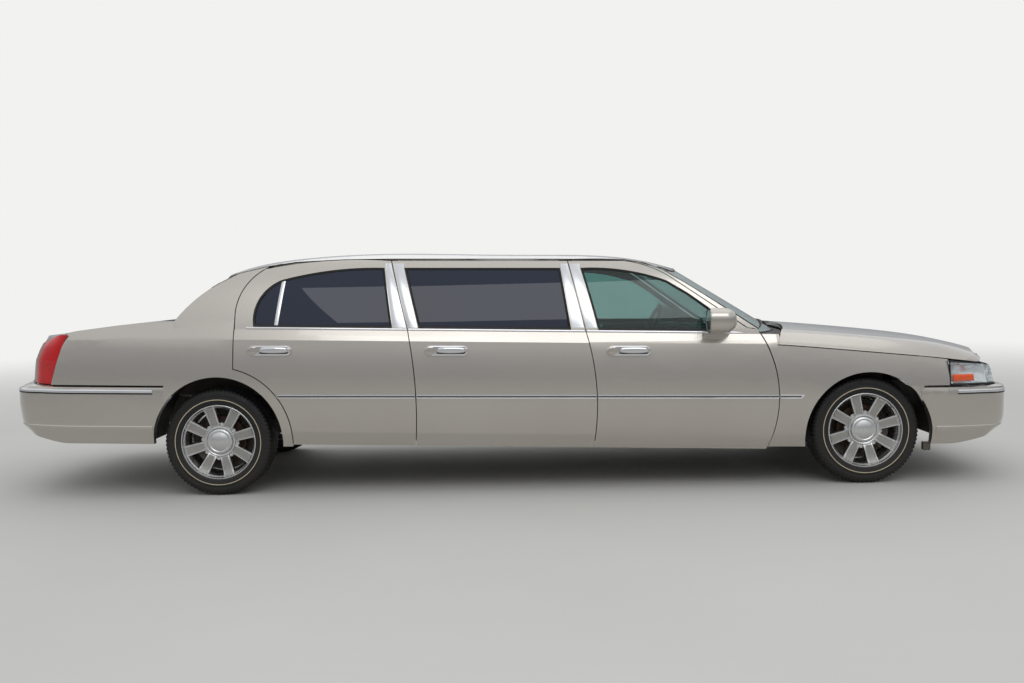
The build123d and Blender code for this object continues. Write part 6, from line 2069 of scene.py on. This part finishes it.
@dataclass
class Cabin:
    """Carpet, lining, dashboard fittings and steering wheel dressing."""

    roof_half: float = 690.0
    driver_y: float = 370.0
    wheel_tilt_deg: float = 25.0
    wheel_radius: float = 174.0

    def build(self) -> None:
        """Make every piece."""
        self._carpet()
        self._lining()
        self._dashboard()
        self._wheel()

    def _carpet(self) -> None:
        """Carpet with the tunnel in its middle."""
        carpet = Piece("carpet", CARPET, "body")
        rings = []
        for x in steps(-1320, 1560, 60):
            half, high = (190, 170) if x > 520 else (110, 78)
            line = [(-776, 10), (-776, 8), (-half - 34, 8), (-half - 9, 20), (-half - 3, high - 10),
                    (-half + 16, high + 8), (half - 16, high + 8), (half + 3, high - 10),
                    (half + 9, 20), (half + 34, 8), (776, 8), (776, 10)]
            wave = 1.5 * sin(x / 90)
            rings.append([lean(x, y, CABIN_FLOOR_Z + z + (wave if z == 8 else 0)) for y, z in line] +
                         [lean(x, 776, 396.5), lean(x, -776, 396.5)])
        carpet.loft(rings).build(sharp_deg=60)

    def _lining(self) -> None:
        """Roof lining and the covers of the side rails."""
        lining = Piece("headliner", HEADLINER, "body")
        rings = []
        for x in steps(-1560, 760, 70):
            ring = [(self.roof_half * share, 33 + 14 * abs(share) ** 3) for share in steps(-1, 1, 0.1)]
            ring += [(self.roof_half, 30), (-self.roof_half, 30)]
            rings.append([lean(x, y, roof_z(x, y) - below) for y, below in ring])
        lining.loft(rings).build(sharp_deg=60)
        for side in Side:
            cover = Piece(f"cant_rail_cover_{side.word}", HEADLINER, "body")
            rings = [[lean(x, side.value * y, z) for y, z in ((634, 1440), (632, 1405), (640, 1397),
                                                             (690, 1396), (699, 1402), (700, 1430))]
                     for x in steps(-1240, 680, 70)]
            cover.loft(rings).build(sharp_deg=50)

    def _dashboard(self) -> None:
        """Instrument binnacle, centre fascia and vents."""
        binnacle = Piece("instrument_binnacle", DASH, "body", (TRIM_BLACK,))
        rings = []
        for t in steps(0, 1, 0.08):
            across = 2 * t - 1
            high = 46 * max(0, 1 - abs(across) ** 3)
            rings.append([lean(x, self.driver_y + 210 * across, z) for x, z in
                          ((1292, 938), (1284, 944 + high * 0.6), (1300, 950 + high),
                           (1360, 956 + high * 0.9), (1430, 961), (1380, 950))])
        binnacle.loft(rings)
        for y, radius in ((300, 50), (440, 50), (self.driver_y, 24)):
            lathe(binnacle, lean(1292, y, 890), Vector((-1, 0, 0.12)).normalized(),
                  ((radius, -10), (radius, 3), (radius - 4, 3), (radius - 7, -2), (0, -2)), 28, finish=1)
        binnacle.build(sharp_deg=50)
        console = Piece("dash_fascia", TRIM_BLACK, "body", (CHROME,))
        outline = slot_outline(240, 120)
        console.loft([[lean(x + (50 - pz) * 0.2, py * k, 855 + pz * k) for py, pz in outline]
                      for k, x in ((1, 1290), (1, 1284), (0.94, 1281))])
        vent, vent_z = slot_outline(130, 62), 900
        for y in (-270, -560, 620, 150):
            console.loft([[lean(x, y + py * k, vent_z + pz * k) for py, pz in vent]
                          for k, x in ((1, 1302), (1, 1295), (0.9, 1293))])
            for dz in (-16, 0, 16):
                tube(console, [lean(1290, y + dy, vent_z + dz) for dy in (-48, 0, 48)], 2.4, 6, finish=1)
        console.build(sharp_deg=45)

    def _wheel(self) -> None:
        """Leather rim, boss and spokes of the steering wheel."""
        rim = Piece("steering_wheel_leather", LEATHER, "body")
        tilt = radians(self.wheel_tilt_deg)
        centre = lean(1070, self.driver_y, 950)
        away = Vector((cos(tilt), 0, -sin(tilt)))
        up = Vector((sin(tilt), 0, cos(tilt)))
        out = Vector((0, 1, 0))
        rings = []
        for a in turns(72):
            radial = out * cos(a) + up * sin(a)
            grip = 17 + 1.2 * sin(a * 8)
            rings.append([centre + (radial * (self.wheel_radius + grip * cos(b)) + away * grip * sin(b)) / 1000
                          for b in turns(12)])
        rim.loft(rings, loop=True).build(sharp_deg=80)
        boss = Piece("steering_wheel_boss", DASH, "body")
        lathe(boss, centre + away * 0.012, -away, ((78, -22), (82, 0), (76, 22), (56, 34), (24, 39), (0, 40)), 40)
        for a in (pi, 0, -pi / 2 - 0.5, -pi / 2 + 0.5):
            radial = out * cos(a) + up * sin(a)
            across = radial.cross(away).normalized()
            rings = [[centre + (radial * r + across * w * cos(b) + away * (d + 8 * sin(b))) / 1000
                      for b in turns(10)]
                     for r, w, d in ((60, 26, 4), (110, 18, 6), (166, 15, 0))]
            boss.loft(rings)
        boss.build(sharp_deg=60)


@dataclass
class TrunkLining:
    """Carpet trough that lines the luggage room.

    Args:
        room: Inner line of half a section: distance in from the side, and height.
        wall: Outer line of the same.
    """

    room: tuple[Point, ...] = ((5, 880), (5, 590), (13, 568), (34, 551), (60, 547))
    wall: tuple[Point, ...] = ((0, 880), (0, 588), (9, 563), (32, 545), (60, 541.5))

    def build(self) -> None:
        """Loft the trough from the tail to the rear seat; it narrows over the wheel housings."""
        lining = Piece("trunk_lining", CARPET, "body")
        rings = []
        for x, half in ((-3085, 731), (-3070, 735), (-2330, 735), (-2290, 682), (-1580, 682)):
            room = [(half - dy, z) for dy, z in self.room]
            wall = [(half - dy, z) for dy, z in self.wall]
            loop = room + [(-y, z) for y, z in reversed(room)] + [(-y, z) for y, z in wall] + wall[::-1]
            rings.append([lean(x, y, z) for y, z in loop])
        lining.loft(rings).build(sharp_deg=45)


class EngineBay:
    """Pieces that show when the hood is open."""

    def build(self) -> None:
        """Make the covers, cleaner, battery, washer bottle and hoses."""
        self._box("valve_cover_right", CAST, (2020, 2560), (-262, -150), (861, 905))
        self._box("valve_cover_left", CAST, (2020, 2560), (150, 262), (861, 905))
        self._box("intake_cover", DASH, (2060, 2520), (-120, 120), (861, 920))
        self._box("battery", TRIM_BLACK, (2560, 2760), (-640, -460), (640, 840))
        self._box("air_cleaner", TRIM_BLACK, (2620, 2860), (380, 640), (650, 820))
        self._box("washer_bottle", PLATE, (2080, 2260), (-620, -480), (660, 840))
        hoses = Piece("engine_hoses", RUBBER, "body")
        tube(hoses, [lean(2640, 120, 830), lean(2700, 110, 840), lean(2780, 90, 826), lean(2850, 80, 800)], 20, 12)
        tube(hoses, [lean(2520, 60, 890), lean(2600, 200, 880), lean(2640, 380, 800)], 42, 14)
        hoses.build(sharp_deg=60)

    @staticmethod
    def _box(name: str, finish: Finish, x: Point, y: Point, z: Point) -> None:
        """Add a moulded cover with a crowned top and raised ribs.

        Args:
            name: Name of the piece.
            finish: Its finish.
            x: Rear and front edge.
            y: Right and left edge.
            z: Bottom and top.
        """
        cover = Piece(name, finish, "body")
        low, high = z
        cover.loft([box_ring(x, y, low + (high - low) * share, shrink)
                    for share, shrink in ((0, 0), (0.72, 2), (0.9, 8), (1, 20))])
        rib = ((-7, -4), (-5, 3), (5, 3), (7, -4))
        for cx in steps(x[0] + 40, x[1] - 40, 60):
            cover.loft([[lean(cx + dx, cy, high + dz) for dx, dz in rib] for cy in (y[0] + 28, y[1] - 28)])
        cover.build(bevel_mm=4)


FORMED_NODES = (("front_bumper", "body"), ("rear_bumper", "body"), ("quarter_panels", "body"),
                ("tail_lamps", "body"), ("headlamps", "body"), ("grille", "body"), ("front_fenders", "body"),
                ("front_header", "body"), ("hood", "hood"), ("trunk_lid", "trunk_lid"),
                ("door_front_left", "door_front_left"), ("door_front_right", "door_front_right"))


def dress_nodes() -> None:
    """Give each CAD node the material of its slot."""
    slots = {part["node"]: part["material_slot"] for part in frame["record"]["subparts"]}
    special = {"rear_shelf": CARPET, "engine_block": CAST, "wheel_liners": TRIM_BLACK}
    for name, body in FORMED_NODES:
        reform(name, body, SLOT_FINISH[slots[name]])
    reform("cabin_shell", "body", PAINT, 60, rails_under_roof(), rail_zone)
    for name, node in frame["nodes"].items():
        finish = special.get(name) or SLOT_FINISH[slots[name]]
        if not node.material_slots:
            node.data.materials.append(None)
        for place in node.material_slots:
            place.material = MATERIALS.get(finish)
        LOG.info("node %s: %s", name, finish.name)


def look(position: Vector, pitch_deg: float, yaw_deg: float, roll_deg: float) -> Matrix:
    """Camera matrix for a view along +Y, turned by three angles.

    Args:
        position: Place of the camera.
        pitch_deg: Turn downwards.
        yaw_deg: Turn to the right.
        roll_deg: Turn about the view.

    Returns:
        The matrix.
    """
    pitch, yaw, roll = radians(pitch_deg), radians(yaw_deg), radians(roll_deg)
    forward = Vector((sin(yaw) * cos(pitch), cos(yaw) * cos(pitch), -sin(pitch)))
    beside = Vector((cos(yaw), -sin(yaw), 0))
    above = beside.cross(forward)
    right = beside * cos(roll) + above * sin(roll)
    up = above * cos(roll) - beside * sin(roll)
    matrix = Matrix((right, up, -forward)).transposed().to_4x4()
    matrix.translation = position
    return matrix


# White that the camera sees behind the car
BACKDROP = "#F2F2F0"


def direct_view(tree: Tree) -> Socket:
    """Socket that gives 1 for what the camera sees directly or through glass."""
    seen = add_node(tree, "LightPath")
    return add_node(tree, "Math", {0: seen.outputs["Is Camera Ray"], 1: seen.outputs["Is Transmission Ray"]},
                    operation="MAXIMUM").outputs[0]


@dataclass
class Studio:
    """Camera, lamps, world and floor."""

    position: Place = (0.004, -7.303, 1.330)
    aim_deg: Place = (3.29, 0.064, -1.03)
    focal_mm: float = 35.0
    sensor_mm: float = 36.0
    floor_half: float = 60.0

    def build(self) -> None:
        """Make the whole stage."""
        camera = new_object("camera", bpy.data.cameras.new("camera"))
        camera.data.lens, camera.data.sensor_width, camera.data.sensor_fit = self.focal_mm, self.sensor_mm, "HORIZONTAL"
        camera.data.clip_end = 200
        camera.matrix_world = look(Vector(self.position), *self.aim_deg)
        bpy.context.scene.camera = camera
        bpy.context.scene.view_settings.view_transform = "Standard"
        self._lamp("soft_key", (1.5, -7.5, 6.5), (0, 0, 0.6), (9, 4), 180)
        self._lamp("soft_top", (0, 0.5, 7.5), (0, 0, 0), (13, 8), 135)
        self._lamp("soft_back", (-2, 8, 5.5), (0, 0, 0.6), (11, 6), 85)
        self._world()
        self._floor()

    @staticmethod
    def _lamp(name: str, place: Place, target: Place, size: Point, watts: float) -> None:
        """Add one area lamp.

        Args:
            name: Its name.
            place: Its place.
            target: Where it points.
            size: Width and height.
            watts: Power.
        """
        data = bpy.data.lights.new(name, "AREA")
        data.shape = "RECTANGLE"
        data.size, data.size_y, data.energy = size[0], size[1], watts
        lamp = new_object(name, data)
        lamp.location = place
        lamp.rotation_euler = (Vector(target) - Vector(place)).to_track_quat("-Z", "Y").to_euler()

    @staticmethod
    def _world() -> None:
        """Soft sky for the reflections, and the plain backdrop for the camera."""
        world = bpy.data.worlds.new("studio")
        bpy.context.scene.world = world
        tree = clear_tree(world)
        heights = add_node(tree, "SeparateXYZ", {0: add_node(tree, "TexCoord").outputs["Generated"]})
        rise = add_node(tree, "MapRange", {"Value": heights.outputs["Z"], "From Min": 0, "From Max": 0.42},
                        interpolation_type="SMOOTHSTEP")
        sky = mix_colours(tree, rise.outputs[0], linear("#A3A6AA"), linear("#FBFDFF"))
        soft = add_node(tree, "Background", {"Color": sky, "Strength": 0.84})
        white = add_node(tree, "Background", {"Color": linear(BACKDROP), "Strength": 1})
        both = add_node(tree, "MixShader", {0: direct_view(tree), 1: soft.outputs[0], 2: white.outputs[0]})
        add_node(tree, "OutputWorld", {"Surface": both.outputs[0]})

    def _floor(self) -> None:
        """Pale floor that fades to the backdrop, and is clear from below."""
        mesh = bpy.data.meshes.new("floor")
        half = self.floor_half
        mesh.from_pydata([(-half, -half, 0), (half, -half, 0), (half, half, 0), (-half, half, 0)], [], [(0, 1, 2, 3)])
        material = bpy.data.materials.new("pale_studio_floor")
        tree = clear_tree(material)
        place = add_node(tree, "TexCoord").outputs["Object"]
        patches = add_node(tree, "TexNoise", {"Vector": place, "Scale": 0.6, "Detail": 5})
        colour = mix_colours(tree, patches.outputs["Fac"], linear("#BFBEBB"), linear("#B6B5B1"))
        grain = add_node(tree, "TexNoise", {"Vector": place, "Scale": 90, "Detail": 3})
        bump = add_node(tree, "Bump", {"Strength": 0.2, "Distance": 0.001, "Height": grain.outputs["Fac"]})
        matt = add_node(tree, "BsdfPrincipled", {"Base Color": colour, "Roughness": 0.75, "Normal": bump.outputs[0]})
        below = add_node(tree, "NewGeometry").outputs["Backfacing"]
        clear = add_node(tree, "BsdfTransparent")
        reach = add_node(tree, "VectorMath", {0: place}, operation="LENGTH").outputs["Value"]
        far = add_node(tree, "MapRange", {"Value": reach, "From Min": 5, "From Max": 17},
                       interpolation_type="SMOOTHSTEP").outputs[0]
        share = add_node(tree, "Math", {0: far, 1: direct_view(tree)}, operation="MULTIPLY")
        white = add_node(tree, "Emission", {"Color": linear(BACKDROP), "Strength": 1})
        faded = add_node(tree, "MixShader", {0: share.outputs[0], 1: matt.outputs[0], 2: white.outputs[0]})
        both = add_node(tree, "MixShader", {0: below, 1: faded.outputs[0], 2: clear.outputs[0]})
        add_node(tree, "OutputMaterial", {"Surface": both.outputs[0]})
        mesh.materials.append(material)
        floor = new_object("floor", mesh)


def main() -> None:
    logging.basicConfig(level=logging.INFO, format="%(message)s")
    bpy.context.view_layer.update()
    Studio().build()
    dress_nodes()
    for side in Side:
        for spec in DOOR_SPECS:
            DoorTrim(spec, side).build()
        SideTrim(side).build()
        for end in ("front", "rear"):
            Wheel(end, side).build()
    for front in (True, False):
        ScreenTrim(front).build()
        BumperTrim(front).build()
    FrontFace().build()
    Seat("front_seats", 420, ((90, 650), (-650, -90)), 520, 300).build()
    Seat("middle_seat", -500, ((-690, -232), (-228, 228), (232, 690)), 520, 300).build()
    Seat("rear_seat", -1420, ((-640, -215), (-211, 211), (215, 640)), 480, 330).build()
    Cabin().build()
    EngineBay().build()
    TrunkLining().build()


if __name__ == "__main__":
    main()
